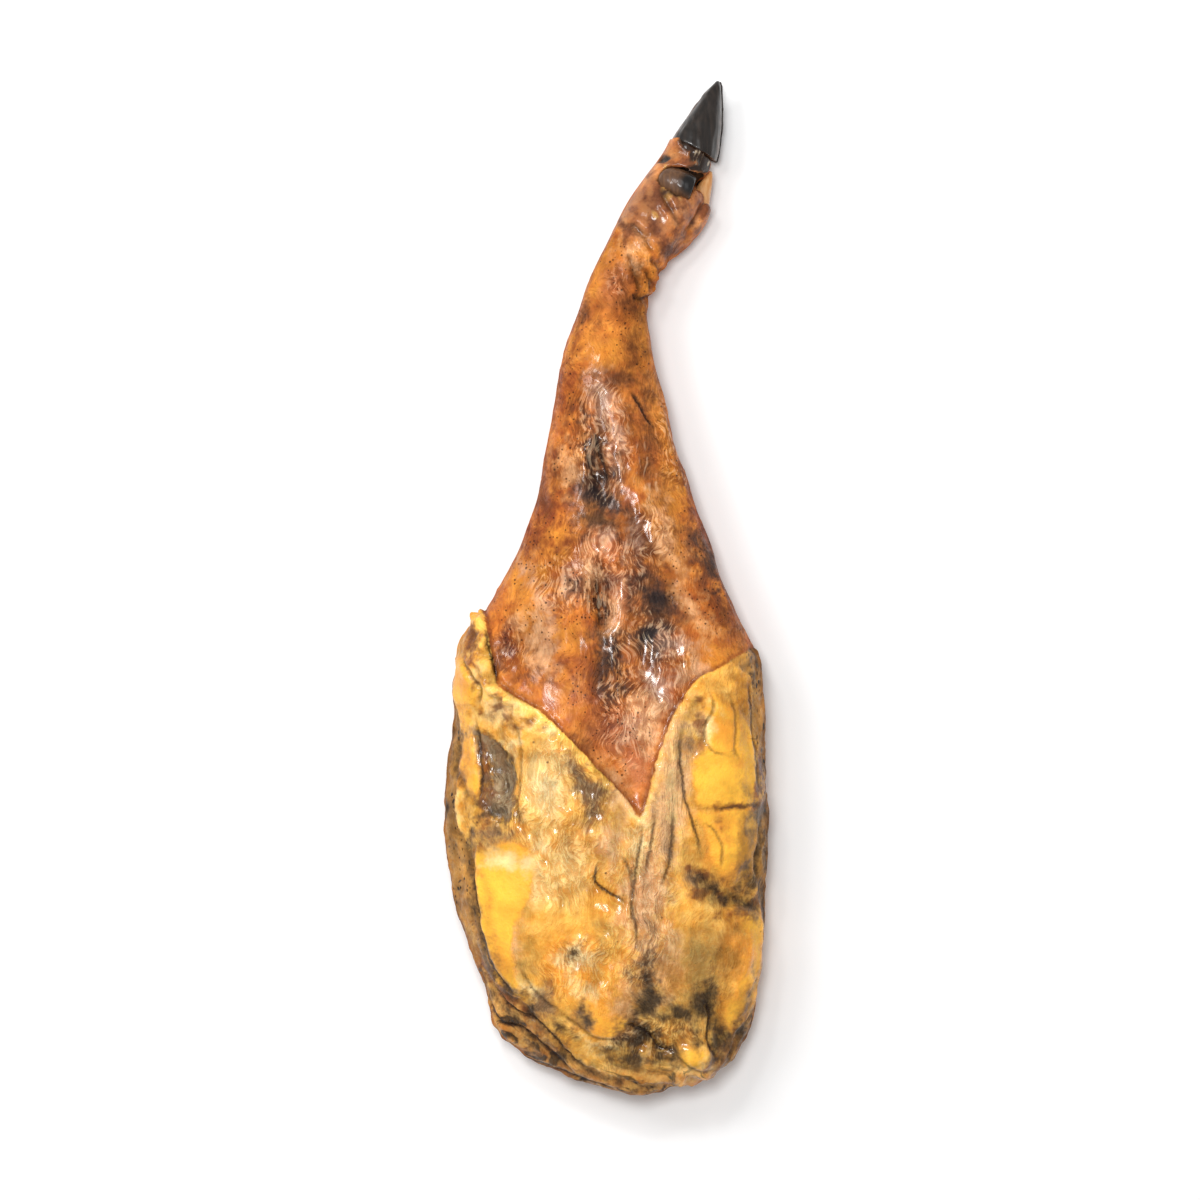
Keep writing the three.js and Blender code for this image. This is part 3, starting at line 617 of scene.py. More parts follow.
creases = [
    # thin splits: how deep and how wide, how dark the painted shade at their bottoms is from 0 to 1,
    # how much the flesh swells beside them, and their points
    (1.6, 1.2, 1.0, 0.25, [(15, 123), (19, 118), (25, 107), (31, 98)]),
    (3.0, 2.0, 0.45, 0.9, [(12, 211), (17, 203), (21, 192), (22, 184)]),
    (3.0, 2.0, 0.5, 0.9, [(19, 206), (25, 199), (28, 191), (25, 186)]),
    (2.8, 2.0, 0.45, 0.8, [(26, 209), (32, 203), (34, 196), (30, 191)]),
    (3.4, 2.2, 0.8, 0.8, [(17, 184), (22, 182), (28, 183), (34, 186)]),
    (1.2, 1.8, 0.2, 0.5, [(6, 232), (14, 226), (24, 222), (34, 224)]),
    (1.6, 1.8, 0.45, 0.8, [(34, 258), (38, 246), (42, 238), (46, 228)]),
    (1.8, 1.8, 0.5, 1.0, [(12, 230), (20, 226), (26, 218), (30, 210)]),
    (1.4, 1.6, 0.4, 0.8, [(50, 224), (56, 234), (60, 244), (66, 250)]),
    (1.2, 1.2, 0.5, 0.6, [(64, 262), (67, 256), (70, 250)]),
    (1.6, 1.2, 1.0, 0.25, [(-5, -173), (-7, -184), (-2, -190), (13, -199)]),
    (1.0, 1.0, 0.625, 0.25, [(8, -168), (14, -177), (16, -190), (14, -197)]),
    (1.2, 0.9, 0.75, 0.25, [(70, -141), (83, -139), (98, -138)]),
    (1.0, 0.9, 0.625, 0.25, [(98, -139), (97, -118), (94, -100), (89, -85)]),
    (2.4, 1.8, 1.0, 0.25, [(-6, 5), (-5, -6), (-4, -18), (-3, -27)]),
    (2.6, 1.6, 1.0, 0.6, [(-76, -27), (-74, -40), (-70, -52), (-69, -62)]),
    (1.6, 1.6, 1.0, 0.4, [(-7, 98), (-5, 86), (-1, 74), (0, 62)]),
    (1.2, 1.4, 0.75, 0.25, [(-14, 92), (-12, 80), (-8, 70), (-4, 62)]),
    (1.8, 1.5, 1.0, 0.25, [(-83, -160), (-84, -190), (-81, -205), (-78, -222), (-71, -242), (-62, -253),
                           (-51, -263)]),
    (0.9, 0.9, 0.5, 0.25, [(64, -64), (67, -78), (61, -92), (66, -104), (77, -108)]),
    (1.2, 1.1, 0.9, 0.25, [(89, -56), (92, -80), (94, -110), (97, -138)]),
    (0.8, 0.9, 0.4, 0.25, [(77, -68), (81, -84), (79, -102), (84, -112)]),
    (0.8, 0.9, 0.45, 0.25, [(60, -148), (68, -155), (73, -166), (70, -178)]),
    (1.4, 1.4, 0.5, 0.5, [(-30, -268), (-16, -277), (-6, -285), (8, -287)]),
    (2.2, 1.8, 1.0, 0.6, [(8, -276), (24, -282), (36, -293), (45, -290)]),
    (2.0, 1.6, 1.0, 0.6, [(60, -258), (66, -271), (64, -286), (70, -301)]),
    (1.4, 1.4, 0.5, 0.5, [(42, -284), (45, -296), (56, -305), (70, -306)]),
    (1.0, 1.2, 0.5, 0.25, [(-54, -240), (-46, -252), (-38, -262), (-26, -268)]),
    (1.2, 1.2, 0.35, 0.25, [(-58, -84), (-54, -98), (-53, -114), (-55, -134), (-58, -148)]),
    (1.4, 1.4, 0.9, 0.25, [(-82, -84), (-80, -104), (-78, -122), (-80, -138)]),
    (1.4, 1.3, 0.6, 0.8, [(-90, -46), (-84, -58), (-78, -64), (-80, -76)]),
    (2.2, 1.6, 1.0, 0.6, [(-73, -250), (-69, -260), (-57, -271), (-44, -275), (-33, -284), (-23, -296),
                          (-10, -308)]),
    (2.0, 1.4, 1.0, 0.5, [(-76, -258), (-69, -275), (-54, -282), (-42, -290), (-31, -298), (-19, -310)]),
    (1.8, 1.4, 1.0, 0.25, [(-44, -301), (-31, -308), (-10, -316), (8, -321)]),
    (1.2, 1.3, 0.75, 0.25, [(21, -147), (22, -159), (19, -175), (16, -198), (19, -216), (19, -230)]),
    (1.2, 1.4, 0.75, 0.25, [(41, -140), (42, -156), (40, -172), (33, -190)]),
    (1.0, 1.2, 0.625, 0.25, [(31, -143), (28, -163), (25, -182)]),
    (1.4, 1.3, 0.875, 0.25, [(48, -88), (46, -104), (48, -122), (50, -138), (56, -156), (60, -174)]),
]
forms = [
    # swellings and hollows: x, y, half width, half length, mm up, and the turn in degrees, if any
    (-6, 25, 10, 11, 2.4), (7, 19, 8, 11, 2.0, -20), (-3, 72, 7, 10, -3.0), (-3, 98, 4, 20, -1.4, 4),
    (-11, 104, 3.5, 18, 1.2), (4, 100, 3.5, 20, 1.2), (40, -8, 10, 20, -2.6, 28), (-4, -12, 4.5, 20, -2.4),
    (-20, -14, 7, 20, 2.0, -8), (9, -12, 6, 18, 1.8, 4), (58, 12, 9, 32, 1.8, 30), (-58, -34, 13, 11, -2.6),
    (-38, -6, 12, 16, 2.0, 20), (24, -52, 8, 20, -1.4, 8), (16, -84, 12, 26, 2.4, 6),
    (-2, -52, 6, 20, -1.6), (26, 52, 8, 24, 1.6, 22), (20, 88, 4, 26, -1.6, 14), (34, 106, 6, 24, 1.2, 12),
    (-26, 44, 8, 22, 1.4, -22), (-6, 150, 12, 18, 1.0), (14, 176, 8, 14, -1.2), (25, 207, 5, 3, 2.6, 30),
    (29, 199.5, 5, 3, 2.6, 15), (30, 192, 5, 2.8, 2.4), (28, 185, 5, 2.6, 2.2, -10),
    (14, 212, 8, 9, 1.8, -30), (42, 226, 7, 14, 2.2, -30), (45, 285, 4, 4, 4.2, -20),
    (52, 282, 4, 4, 4.0, -20), (59.5, 279, 4, 4, 3.8, -20), (67, 276, 4.5, 4, 3.4, -20),
    (62, 247, 6, 10, 2.6, -50), (47, 249, 4, 3, -1.5), (28, 238, 7, 10, 1.8, -30),
    (58, 240, 6, 12, 2.0, -28), (-76, -56, 3, 3.4, 2.2), (-70, -66, 3.6, 3, 2.4), (-63, -73, 3.2, 3, 2.2),
    (-57, -77, 3, 2.6, 2.0), (-50, -81, 3.4, 3, 2.2), (-43, -86, 3, 2.6, 1.8), (-36, -92, 3, 2.6, 1.6),
    (-80, -48, 3, 4, 2.0), (-64, -82, 3, 2.6, 1.6), (-73, -78, 3, 3, 1.6), (-86, -58, 3.4, 3, 1.6),
    (-52, -89, 3, 2.6, 1.2), (-66, -116, 9, 26, -1.6), (72, -100, 10, 22, 1.6, 6),
    (46, -128, 4, 40, -1.4, -4), (34, -140, 5, 40, 1.5, -6), (76, -162, 12, 14, 1.4),
    (78, -196, 14, 5, -2.2, -10), (-66, -198, 9, 30, 1.4, 4), (18, -190, 5, 26, -1.2, 2),
    (26, -226, 4, 24, 1.6, 12), (20, -262, 8, 16, -2.2), (-4, -276, 14, 6, 1.8, 8), (58, -300, 14, 7, 2.2),
    (74, -288, 7, 14, -2.6, 10), (30, -290, 16, 6, -2.0), (-22, -250, 20, 14, 1.4, -30),
    (88, -240, 6, 20, 1.6),
]
shrivelled = [
    # where the skin or crust has dried into fine wrinkles
    (-2, 92, 22, 46), (0, 10, 32, 30), (28, -50, 30, 40, 10), (-58, -38, 14, 20), (12, -80, 22, 40),
    (6, 190, 8, 16), (-30, -150, 36, 60), (20, -200, 26, 60), (-66, -118, 14, 36), (30, -285, 34, 16),
    (40, 90, 12, 40, 10), (-30, 0, 20, 20), (30, 30, 16, 30), (-14, -240, 30, 24),
]
furrowed = [
    # where it has dried into long lines
    (-3, 92, 13, 28), (38, -140, 16, 60, -5), (25, 70, 8, 34, 10), (22, -215, 12, 40), (-2, -12, 14, 22),
    (-68, -116, 9, 30),
]
pored = [
    # where the bristles have left their pores
    (-22, 100, 8, 70, -6), (-42, 22, 20, 30, -25), (-34, -12, 36, 24), (46, 80, 9, 70, 12),
    (60, 0, 22, 30, 25), (-4, -80, 26, 46, 20), (20, 170, 20, 36), (0, 210, 14, 26, -20),
    (-60, -20, 18, 20),
]


def tintFields(tints, plan, warped):
    # for each tint, mm inside its nearest shape; wide patches wander with the warped plan
    fields = {}
    for name, tint in tints.items():
        field = dabbed(tint.get("dabs", []), warped)
        spot = plan if tint["soft"] < 2.5 else warped
        for wide, line in tint.get("strokes", []):
            away, _ = besideLine(rounded(line), spot)
            field = np.maximum(field, wide - np.abs(away))
        for loop in tint.get("loops", []):
            field = np.maximum(field, inside(rounded(loop, closed=True), spot))
        fields[name] = field
    return fields


def skinSide(plan):
    # mm onto the rind from its cut edge, and below zero on the fat
    edge = rounded(rindEdge, steps=3)
    far = 400
    loop = np.vstack([edge, [(far, edge[-1][1]), (far, far), (-far, far), (-far, edge[0][1])]])
    return inside(loop, plan)


def barkSide(plan):
    # mm out onto the grey-brown crust of the flanks, past the edge of the yellow fat
    left, _ = besideLine(rounded(flankEdge), plan)
    right, _ = besideLine(rounded(rightStrip), plan)
    left = -left - reach * ramp(plan[:, 1], -52, -40)
    right = right - reach * ramp(plan[:, 1], -44, -34)
    return np.clip(np.maximum(left, right), -reach, 60)


def swellings(plan):
    return sum(up * bell(spreadFrom(plan, x, y, wide, long, *turn), 1)
               for x, y, wide, long, up, *turn in forms)


def shoulderPiece():
    piece = fineCopy("shoulder", "cured_shoulder", shoulder["voxel"])
    mesh = piece.data
    finer(mesh, shoulder["footFrom"])
    points = readPoints(mesh)
    top, low = points.max(0), points.min(0)
    points = relaxed(mesh, points, shoulder["smoothing"], ramp(points[:, 1], 190, 235) * 0.6)
    normals = outward(mesh, points)
    print("shoulder mesh:", len(points), "points,", len(mesh.polygons), "faces")

    points = drawnTo(points, normals, skinSide, points[:, :2], 0.9)
    plan = strayed(strayed(points, 12, 1.1, 15), 4.5, 0.5, 17)[:, :2]
    warped = strayed(strayed(points, 16, 3.5, 11), 6, 1.5, 21)[:, :2]
    upper = ramp(points[:, 2] + 30 * normals[:, 2], 22, 40)
    upper = np.maximum(upper, ramp(points[:, 1], 240, 250) * ramp(normals[:, 2], -0.1, 0.25))
    skin = skinSide(plan)
    bark = barkSide(plan)
    rind = tintFields(rindTints, plan, warped)
    fat = tintFields({**fatTints, **stains}, plan, warped)
    fat["lip"] = skin + 3.5 + 6 * ramp(plan[:, 0], 22, 4)
    shrivel = np.maximum(ramp(dabbed(shrivelled, warped), -6, 8), ramp(points[:, 1], 236, 214) * 0.45)
    shrivel *= 1 - 0.85 * ramp(fat["butter"], -2, 3) * ramp(skin, 0.5, -0.5)
    furrow = ramp(dabbed(furrowed, warped), -4, 5)
    onFat = ramp(skin, 0.5, -0.5)

    # the fat's lip swells along the cut, in knobs on its left arm, and fades out at the right
    arms = ramp(points[:, 0], 88, 60)
    knobs = ramp(points[:, 0], -8, -30) * lumps(points, shoulder["knobSize"], 6) * bell(skin + 4.5, 4.5)
    along = bell(skin + 2, shoulder["lipWidth"]) * (1 + 1.3 * lumps(points, shoulder["knobSize"], 5))
    relief = swellings(warped) * upper
    relief += onFat * (arms * shoulder["lip"] * along + upper * shoulder["knobHeight"] * knobs)
    relief -= (1 - onFat) * arms * shoulder["groove"] * bell(skin, shoulder["lipWidth"] * 0.6)
    # clean fat stands proud, lean meat and char lie lower, and the crust of the flanks a step below
    relief += onFat * shoulder["plate"] * ramp(fat["butter"], -0.8, 1.6)
    relief -= onFat * shoulder["window"] * ramp(fat["lean"], -1.0, 1.8)
    relief -= onFat * shoulder["charred"] * ramp(fat["char"], -2, 4)
    relief -= onFat * shoulder["flankStep"] * ramp(bark, -0.6, 1.4) * bell(np.maximum(bark, 0), 16)
    calm = 1 - 0.75 * ramp(fat["butter"], 0, 3) * onFat

    # long wrinkles run along the leg and wander; each crest is sharper than its valleys
    grain = strayed(strayed(points, 34, 12, 31), 11, 3.2, 41)
    crest = 1 - np.abs(lumps(grain, (5.0, 13, 8), 51)) * 2
    wide = 1 - np.abs(lumps(grain, (9, 24, 14), 52)) * 2
    relief += shoulder["shrivel"] * shrivel * calm * (0.35 * crest + 0.8 * wide)
    folds = 1 - np.abs(lumps(strayed(points, 30, 3, 33), (5.5, 40, 14), 53)) * 2
    relief += shoulder["furrow"] * furrow * calm * folds
    relief += shoulder["waves"] * lumps(points, (22, 30, 22), 61) * calm
    relief += shoulder["crust"] * onFat * calm * (lumps(points, 9, 62) + 0.6 * lumps(points, 4.6, 63))

    # layers of dried meat and fat round the cut end and the flank
    layered = np.clip(ramp(bark, 0, 6) + ramp(points[:, 1], -294, -312), 0, 1) * onFat
    strata = lumps(np.c_[bark + points[:, 2] * 0.5, points[:, 1] * 0.2, points[:, 2] * 0.3], (5, 9, 9), 71)
    relief += shoulder["strata"] * layered * strata * ramp(points[:, 2], 2, 12)

    # each place also gets the painted shade at the bottom of its nearest crease
    side = np.full(len(points), reach)
    creaseShadeMask = np.zeros(len(points))
    for deep, wide, shadeStrength, swell, line in creases:
        away, along = besideLine(rounded(line), plan)
        fade = ramp(along, -0.02, 0.2) * ramp(along, 1.02, 0.8) * upper
        relief += fade * (swell * bell(np.abs(away) - wide * 2.2, wide * 1.3) - deep * bell(away, wide))
        nearer = np.abs(away) < np.abs(side)
        side[nearer] = away[nearer]
        creaseShadeMask[nearer] = (fade * bell(away, 3.0) * shadeStrength)[nearer]

    # painted shade for the hollows of the relief and painted light for its swellings, from -1 to 1
    around = relaxed(mesh, relief[:, None], 40)[:, 0]
    hollow = np.clip((relief - around) / 1.1 + relief / 6, -1, 1)
    relief -= shoulder["pit"] * ramp(rind["pit"], -0.5, 2.5)
    relief += shoulder["gristle"] * ramp(rind["gristle"], -0.3, 1.0)
    relief *= ramp(points[:, 2], 0.5, 14) * 0.85 + 0.15      # little of it on the underside
    points = np.clip(points + normals * relief[:, None], low + 0.05, top - 0.05)
    points[:, 2] = np.maximum(points[:, 2], 0)
    writePoints(mesh, points)

    fields = {
        "skin": skin, "bark": bark, "hollow": hollow, "shrivel": shrivel, "furrow": furrow,
        "shine": ramp(points[:, 1], 205, 240),
        "steep": ramp(normals[:, 2], 0.55, 0.05),
        "layers": layered * ramp(points[:, 1] + 12 * lumps(points, 20, 73), -190, -240),
        "pores": np.maximum(ramp(dabbed(pored, warped), -7, 4), 0.35) * ramp(normals[:, 2], 0.15, 0.5),
        "creaseSide": side, "creaseShade": creaseShadeMask,
        **{name: field * upper - reach * (1 - upper) for name, field in {**rind, **fat}.items()},
    }
    for name, values in fields.items():
        attribute(mesh, name, values)
    mesh.materials.append(curedShoulderMaterial(fields))
    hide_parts("shoulder")
    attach(piece, "root")


def noiseChannels(tree, place, size, detail):
    # three separate noises of one lump size in mm, each spread out to run from -1 to 1
    noise = add(tree, "TexNoise", {"Vector": place, "Scale": 1 / (size * mm), "Detail": detail}, "Color")
    return [add(tree, "MapRange", {"Value": part, "From Min": 0.33, "From Max": 0.67, "To Min": -1.0})
            for part in add(tree, "SeparateColor", {0: noise}, slice(3))]


def pulled(tree, place, size, by, stretch):
    # the place dragged about by noise of one size and then squeezed, which draws out what is put on it
    noise = add(tree, "TexNoise", {"Vector": place, "Scale": 1 / (size * mm), "Detail": 1.0}, "Color")
    off = add(tree, "VectorMath", {0: noise, 1: (0.5, 0.5, 0.5)}, operation="SUBTRACT")
    moved = add(tree, "VectorMath", {0: off, 1: (by * mm,) * 3, 2: place}, **scaledSum)
    return add(tree, "Mapping", {"Vector": moved, "Scale": stretch})


def strands(tree, place, thick, long, sway):
    # crests of shrivelled skin, so many mm thick and long, that bend by the sway and fork
    place = pulled(tree, place, 26, sway, (1.0, 1.0, 1.0))
    place = pulled(tree, place, 9, sway / 4, (1.0, thick / long, thick / long))
    noise = add(tree, "TexNoise", {"Vector": place, "Scale": 1 / (thick * mm), "Detail": 3.0,
                                   "Roughness": 0.6})
    return add(tree, "MapRange", {"Value": noise, "From Min": 0.38, "From Max": 0.66}, **smooth)


def dotted(tree, place, size, least, most):
    # round dark spots, one in each cell of the given size in mm at most, some too small to see
    tall = add(tree, "Mapping", {"Vector": place, "Scale": (1.0, 1.0, 0.14)})
    distance, lot = add(tree, "TexVoronoi", {"Vector": tall, "Scale": 1 / (size * mm)}, slice(2))
    radius = add(tree, "MapRange", {"Value": add(tree, "SeparateColor", {0: lot}), "From Min": 0.2,
                                    "To Min": least / size, "To Max": most / size})
    close = add(tree, "Math", {0: radius, 1: distance}, operation="SUBTRACT")
    return add(tree, "MapRange", {"Value": close, "From Min": -0.03, "From Max": 0.08})


def tinted(tree, under, tints, given, coarse, fine, lines):
    # lays tints one over the other, each with a wandering edge and two mottled colours; gives their masks too
    masks = {}
    for i, (name, tint) in enumerate(tints.items()):
        blotch, grit, soft = coarse[i % 3], fine[(i + 1) % 3], tint["soft"]
        field = given[name]
        for noise, share in ((blotch, 0.75), (grit, 0.2)):
            field = add(tree, "Math", {0: noise, 1: tint["ragged"] * share, 2: field}, **scaledSum)
        if "veins" in tint:
            field = add(tree, "Math", {0: lines, 1: -tint["veins"], 2: field}, **scaledSum)
        masks[name] = add(tree, "MapRange", {"Value": field, "From Min": -soft, "From Max": soft,
                                             "To Max": tint["strength"]}, **smooth)
        for noise, share in ((blotch, -0.3), (grit, 0.25)):
            field = add(tree, "Math", {0: noise, 1: share * soft, 2: field}, **scaledSum)
        depth = add(tree, "MapRange", {"Value": field, "From Min": -0.6 * soft, "From Max": 1.4 * soft})
        first, second = tint["colours"]
        paint = add(tree, "Mix", {0: depth, 6: first, 7: second}, **blend)
        under = add(tree, "Mix", {0: masks[name], 6: under, 7: paint}, **blend)
    return under, masks


def curedShoulderMaterial(fields):
    # Air-dried pork: salted rind, translucent from its own fat, over yellowed fat with a mould-flecked crust.
    # The oil that sweats out wets the wrinkles, and painted highlights lie in fine bright lines along their
    # crests.
    made, tree = newMaterial("airDriedRindAndFat")
    place = add(tree, "TexCoord", take="Object")
    given = {name: add(tree, "Attribute", take="Fac", attribute_name=name) for name in fields}
    clouds = noiseChannels(tree, place, 26, 2.0)
    blotches = noiseChannels(tree, place, 9, 2.5)
    grits = noiseChannels(tree, place, 2.4, 3.0)
    mottle = add(tree, "MapRange", {"Value": blotches[1], "From Min": -1.0})
    cloud = add(tree, "MapRange", {"Value": clouds[0], "From Min": -1.0})

    # dried skin curls into wrinkles about 2 mm thick, and into long furrows where it hangs in folds
    curls = strands(tree, place, 1.6, 5.5, 24)
    furrows = strands(tree, place, 2.4, 24, 7)
    curled = add(tree, "Math", {0: curls, 1: given["shrivel"]}, **product)
    drawn = add(tree, "Math", {0: furrows, 1: given["furrow"]}, **product)
    gaps = add(tree, "MapRange", {"Value": blotches[0], "From Min": -0.8, "From Max": 0.4, "To Min": 0.1})
    drawn = add(tree, "Math", {0: drawn, 1: gaps}, **product)
    lines = add(tree, "Math", {0: drawn, 1: curled}, operation="MAXIMUM")

    # what the tints lie on: rind from red-brown to orange, fat, and the crust and torn layers over the fat
    grounds = {
        "ruddy": (cloud, "ae5a22", "c66c29"), "golden": (cloud, "d67e2e", "e8943e"),
        "dim": (cloud, "ecaa44", "d89032"), "bright": (cloud, "fbca6e", "f2b448"),
        "dark": (mottle, "3b2a1a", "765429"), "tawny": (mottle, "b07c3e", "cf9850"),
        "leaves": (mottle, "b9752f", "e2ab5c"),
    }
    ground = {name: add(tree, "Mix", {0: share, 6: first, 7: second}, **blend)
              for name, (share, first, second) in grounds.items()}
    rind = add(tree, "Mix", {0: mottle, 6: ground["ruddy"], 7: ground["golden"]}, **blend)
    rind, _ = tinted(tree, rind, rindTints, given, blotches, grits, lines)
    # bristle pores, drawn 1 to 2 mm wide so that they show
    holes = add(tree, "Math", {0: dotted(tree, place, 2.5, 0.2, 0.75), 1: given["pores"]}, **product)
    pits = add(tree, "Math", {0: holes, 1: 0.8}, **product)
    rind = add(tree, "Mix", {0: pits, 6: rind, 7: "30170c"}, **blend)

    fat = add(tree, "Mix", {0: mottle, 6: ground["dim"], 7: ground["bright"]}, **blend)
    fat, masks = tinted(tree, fat, fatTints, given, blotches, grits, lines)
    # a grey-brown crust on the flanks, whose layers run along them
    y, z = add(tree, "SeparateXYZ", {0: place}, slice(1, 3))
    across = add(tree, "Math", {0: given["bark"], 1: 0.3}, **product)
    up = add(tree, "Math", {0: z, 1: 220.0, 2: across}, **scaledSum)
    far = add(tree, "Math", {0: y, 1: 45.0}, **product)
    sheets = add(tree, "CombineXYZ", {0: up, 1: far})
    strata = add(tree, "TexNoise", {"Vector": sheets, "Scale": 1.0, "Detail": 3.0})
    strata = add(tree, "MapRange", {"Value": strata, "From Min": 0.36, "From Max": 0.64})
    crust = add(tree, "Mix", {0: strata, 6: ground["dark"], 7: ground["tawny"]}, **blend)
    flecks = dotted(tree, pulled(tree, place, 20, 8, (1.3, 0.55, 1.3)), 2.3, 0.3, 1.0)
    crust = add(tree, "Mix", {0: flecks, 6: crust, 7: "241a14"}, **blend)
    gilt = add(tree, "MapRange", {"Value": clouds[2], "From Min": -0.4, "From Max": 0.8, "To Max": 0.65})
    crust = add(tree, "Mix", {0: gilt, 6: crust, 7: "cf9440"}, **blend)
    edge = add(tree, "Math", {0: grits[0], 1: 1.2, 2: given["bark"]}, **scaledSum)
    crusted = add(tree, "MapRange", {"Value": edge, "From Min": -0.3, "From Max": 1.4})
    fat = add(tree, "Mix", {0: crusted, 6: fat, 7: crust}, **blend)
    # round the cut end, torn layers of meat and fat lie on each other
    torn = add(tree, "TexNoise", {"Vector": sheets, "Scale": 1.3, "Detail": 5.0, "Distortion": 0.7})
    torn = add(tree, "Math", {0: blotches[0], 1: 0.09, 2: torn}, **scaledSum)
    torn = add(tree, "MapRange", {"Value": torn, "From Min": 0.35, "From Max": 0.47})
    leaves = add(tree, "Mix", {0: torn, 6: "2a1c11", 7: ground["leaves"]}, **blend)
    layers = add(tree, "Math", {0: given["layers"], 1: 0.85}, **product)
    fat = add(tree, "Mix", {0: layers, 6: fat, 7: leaves}, **blend)
    fat, stained = tinted(tree, fat, stains, given, blotches, grits, lines)
    fat = add(tree, "Mix", {0: dotted(tree, place, 9, -0.4, 0.9), 6: fat, 7: "5a3a1e"}, **blend)

    edge = add(tree, "Math", {0: grits[2], 1: 0.3, 2: given["skin"]}, **scaledSum)
    onFat = add(tree, "MapRange", {"Value": edge, "From Min": 0.3, "From Max": -0.25})
    colour = add(tree, "Mix", {0: onFat, 6: rind, 7: fat}, **blend)
    beside = add(tree, "Math", {0: edge, 1: 0.9}, operation="SUBTRACT")
    beside = add(tree, "Math", {0: beside}, operation="ABSOLUTE")
    line = add(tree, "MapRange", {"Value": beside, "From Min": 2.0, "From Max": 0.3, "To Max": 0.55})
    # painted shade at the bottoms of the creases; the same mask also cuts their groove into the bump
    away = add(tree, "Math", {0: grits[0], 1: 0.5, 2: given["creaseSide"]}, **scaledSum)
    away = add(tree, "Math", {0: away}, operation="ABSOLUTE")
    split = add(tree, "MapRange", {"Value": away, "From Min": 1.5, "From Max": 0.25, "To Max": 0.9})
    split = add(tree, "Math", {0: split, 1: given["creaseShade"]}, **product)
    # painted shade: the troughs between the wrinkles are darkened in the colour
    troughShade = add(tree, "MapRange", {"Value": curls, "From Min": 0.6, "From Max": 0.0, "To Max": 0.5})
    troughShade = add(tree, "Math", {0: troughShade, 1: given["shrivel"]}, **product)
    shade = add(tree, "Mix", {0: onFat, 6: "7a4422", 7: "cc9450"}, **blend)
    # painted highlight: a pale line along the crests of the wrinkles, weaker on the fat
    crestHighlight = add(tree, "MapRange", {"Value": lines, "From Min": 0.55, "To Max": 0.22})
    thin = add(tree, "MapRange", {"Value": onFat, "To Min": 1.0, "To Max": 0.3})
    crestHighlight = add(tree, "Math", {0: crestHighlight, 1: thin}, **product)
    # painted shade: the steep sides are darkened in the colour
    steep = add(tree, "Math", {0: given["steep"], 1: 0.5}, **product)
    # the tone changes slowly over all of it, with painted shade in the hollows and painted light on the
    # swellings
    toneAndReliefShade = add(tree, "Math", {0: blotches[0], 1: 0.7, 2: clouds[1]}, **scaledSum)
    toneAndReliefShade = add(tree, "Math", {0: given["hollow"], 1: 1.6, 2: toneAndReliefShade}, **scaledSum)
    toneAndReliefShade = add(tree, "MapRange", {"Value": toneAndReliefShade, "From Min": -1.8, "From Max": 1.8, "To Min": 0.7,
                                  "To Max": 1.26})
    washes = (
        (line, "8a4417", "MIX"),           # a dark line where the rind meets the lip of fat
        (split, "2c170d", "MIX"),          # painted shade at the bottoms of the creases
        (troughShade, shade, "MULTIPLY"),       # painted shade in the troughs between wrinkles
        (crestHighlight, "ffdfb4", "MIX"),           # a painted highlight whitens the crests
        (steep, "c08c50", "MULTIPLY"),     # painted shade darkens the steep sides
        # slow random tone, with painted shade in the hollows and painted light on the swellings
        (1.0, toneAndReliefShade, "MULTIPLY"),
    )
    for share, paint, how in washes:
        colour = add(tree, "Mix", {0: share, 6: colour, 7: paint}, blend_type=how, **blend)

    # heights in mm
    height = add(tree, "Math", {0: curled, 1: 0.5}, **product)
    pebble = noiseChannels(tree, place, 1.5, 1.0)[0]
    for layer, deep in ((drawn, 0.7), (pebble, 0.05), (grits[0], 0.08), (blotches[2], 0.2), (holes, -0.25),
                        (split, -0.6), (masks["butter"], 0.3), (stained["lean"], -0.3), (onFat, 0.35)):
        height = add(tree, "Math", {0: layer, 1: deep, 2: height}, **scaledSum)
    bump = add(tree, "Bump", {"Height": height, "Distance": mm, "Strength": 1.0})

    # duller where it is pored, steep or crusted; oil along the crests, unless it is dry there
    rough = add(tree, "MapRange", {"Value": blotches[1], "From Min": -1.0, "To Min": 0.32, "To Max": 0.46})
    for dull, more in ((given["pores"], 0.16), (given["steep"], 0.25), (crusted, 0.2)):
        rough = add(tree, "Math", {0: dull, 1: more, 2: rough}, **scaledSum)
    oil = add(tree, "MapRange", {"Value": lines, "To Min": 0.06, "To Max": 0.8})
    damp = add(tree, "Math", {0: given["pores"], 1: given["steep"]}, operation="MAXIMUM")
    damp = add(tree, "MapRange", {"Value": damp, "From Min": 0.4, "To Min": 1.0, "To Max": 0.1})
    shine = add(tree, "Math", {0: given["shine"], 1: masks["butter"]}, operation="MAXIMUM")
    oil = add(tree, "Math", {0: shine, 1: 0.4, 2: oil}, **scaledSum)
    oil = add(tree, "Math", {0: oil, 1: damp}, **product)
    shader = add(tree, "BsdfPrincipled", {
        "Base Color": colour, "Roughness": rough, "Normal": bump, "IOR": 1.46, "Specular IOR Level": 0.15,
        "Subsurface Weight": 0.1, "Subsurface Radius": (1.0, 0.45, 0.2), "Subsurface Scale": 2 * mm,
        "Coat Weight": oil, "Coat Roughness": 0.13})
    add(tree, "OutputMaterial", {"Surface": shader})
    return made


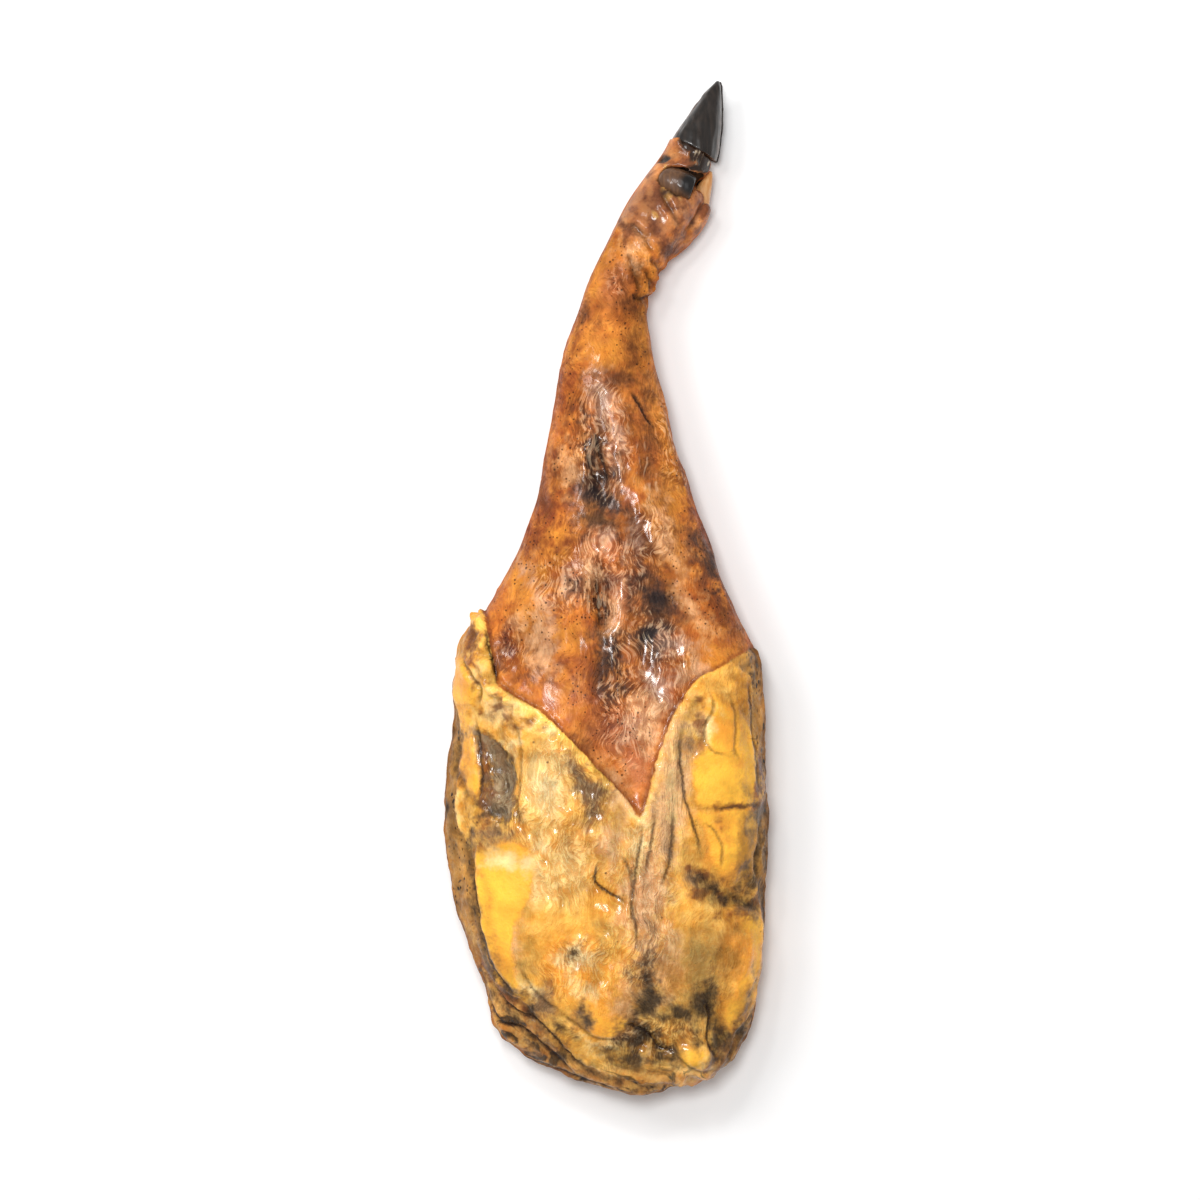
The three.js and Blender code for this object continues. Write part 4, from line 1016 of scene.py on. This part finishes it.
horns = {
    # slot, colours of the horn and of its streaks, mm between two streaks, roughness, colour of the rim
    # (worn, or painted shade on the dark dewclaw)
    "claw_upper": {"slot": "black_horn", "colours": ("1d1815", "3b3029"), "streaks": 2.6, "rough": 0.34,
                   "wornRimAndShade": "5a3a24"},
    "claw_lower": {"slot": "black_horn", "colours": ("2a2220", "3d322b"), "streaks": 2.6, "rough": 0.3,
                   "wornRimAndShade": "4a3020"},
    # the dark dewclaw's rim and open mouth are painted near black, as shade
    "dewclaw_dark": {"slot": "brown_horn", "colours": ("573a26", "7b5636"), "streaks": 1.6, "rough": 0.45,
                     "wornRimAndShade": "0d0908", "mouth": (54, 255, 11)},
    "dewclaw_pale": {"slot": "pale_horn", "colours": ("c98a4e", "e9bd86"), "streaks": 1.4, "rough": 0.32,
                     "wornRimAndShade": "a86c38", "rounding": 30},
}


def hornMaterial(name, horn):
    # Keratin horn, grown in thin layers: glossy where rubbed, with fine streaks along its growth.
    made, tree = newMaterial(name)
    place = add(tree, "TexCoord", take="Object")
    turned = add(tree, "Mapping", {"Vector": place, "Rotation": (0, 0, math.radians(17)),
                                   "Scale": (1.0, 0.1, 1.0)})
    streak = add(tree, "TexNoise", {"Vector": turned, "Scale": 1 / (horn["streaks"] * mm), "Detail": 3.0})
    patch = add(tree, "TexNoise", {"Vector": place, "Scale": 1 / (9 * mm), "Detail": 3.0})
    share = add(tree, "MapRange", {"Value": streak, "From Min": 0.42, "From Max": 0.9})
    colour = add(tree, "Mix", {0: share, 6: horn["colours"][0], 7: horn["colours"][1]}, **blend)
    # the rim is worn and browner, but on the dark dewclaw it is near black, painted shade
    wornRimAndShade = add(tree, "Attribute", take="Fac", attribute_name="wornRimAndShade")
    colour = add(tree, "Mix", {0: wornRimAndShade, 6: colour, 7: horn["wornRimAndShade"]}, **blend)
    rough = add(tree, "MapRange", {"Value": patch, "From Min": 0.3, "From Max": 0.7,
                                   "To Min": horn["rough"] * 0.7, "To Max": horn["rough"] * 1.6})
    bump = add(tree, "Bump", {"Height": streak, "Distance": 0.1 * mm})
    shader = add(tree, "BsdfPrincipled", {
        "Base Color": colour, "Roughness": rough, "Normal": bump, "IOR": 1.54, "Specular IOR Level": 0.3,
        "Coat Weight": 0.3, "Coat Roughness": 0.12})
    add(tree, "OutputMaterial", {"Surface": shader})
    return made


def hornPiece(node, horn):
    piece = fineCopy(node, "horn_" + node, 0.7)
    mesh = piece.data
    points = readPoints(mesh)
    top, low = points.max(0), points.min(0)
    points = relaxed(mesh, points, horn.get("rounding", 8))
    normals = outward(mesh, points)
    relief = 0.25 * lumps(points, (2.5, 14, 2.5), 81) + 0.3 * lumps(points, 7, 82)
    points = np.clip(points + normals * relief[:, None], low + 0.02, top - 0.02)
    writePoints(mesh, points)
    wornRimAndShade = 0.7 * ramp(normals[:, 2] + 0.25 * lumps(points, 4, 83), 0.45, 0.0)
    if "mouth" in horn:        # the open end, with painted shade inside: x, y and how wide
        x, y, wide = horn["mouth"]
        wornRimAndShade = np.maximum(wornRimAndShade, ramp(np.hypot(points[:, 0] - x, points[:, 1] - y), wide, wide * 0.4))
    attribute(mesh, "wornRimAndShade", wornRimAndShade)
    mesh.materials.append(hornMaterial("{}Horn_{}".format(*node.split("_")), horn))
    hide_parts(node)
    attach(piece, "root")


shoulderPiece()
print("shoulder dressed")
for node, horn in horns.items():
    hornPiece(node, horn)
print("claws and dewclaws dressed")
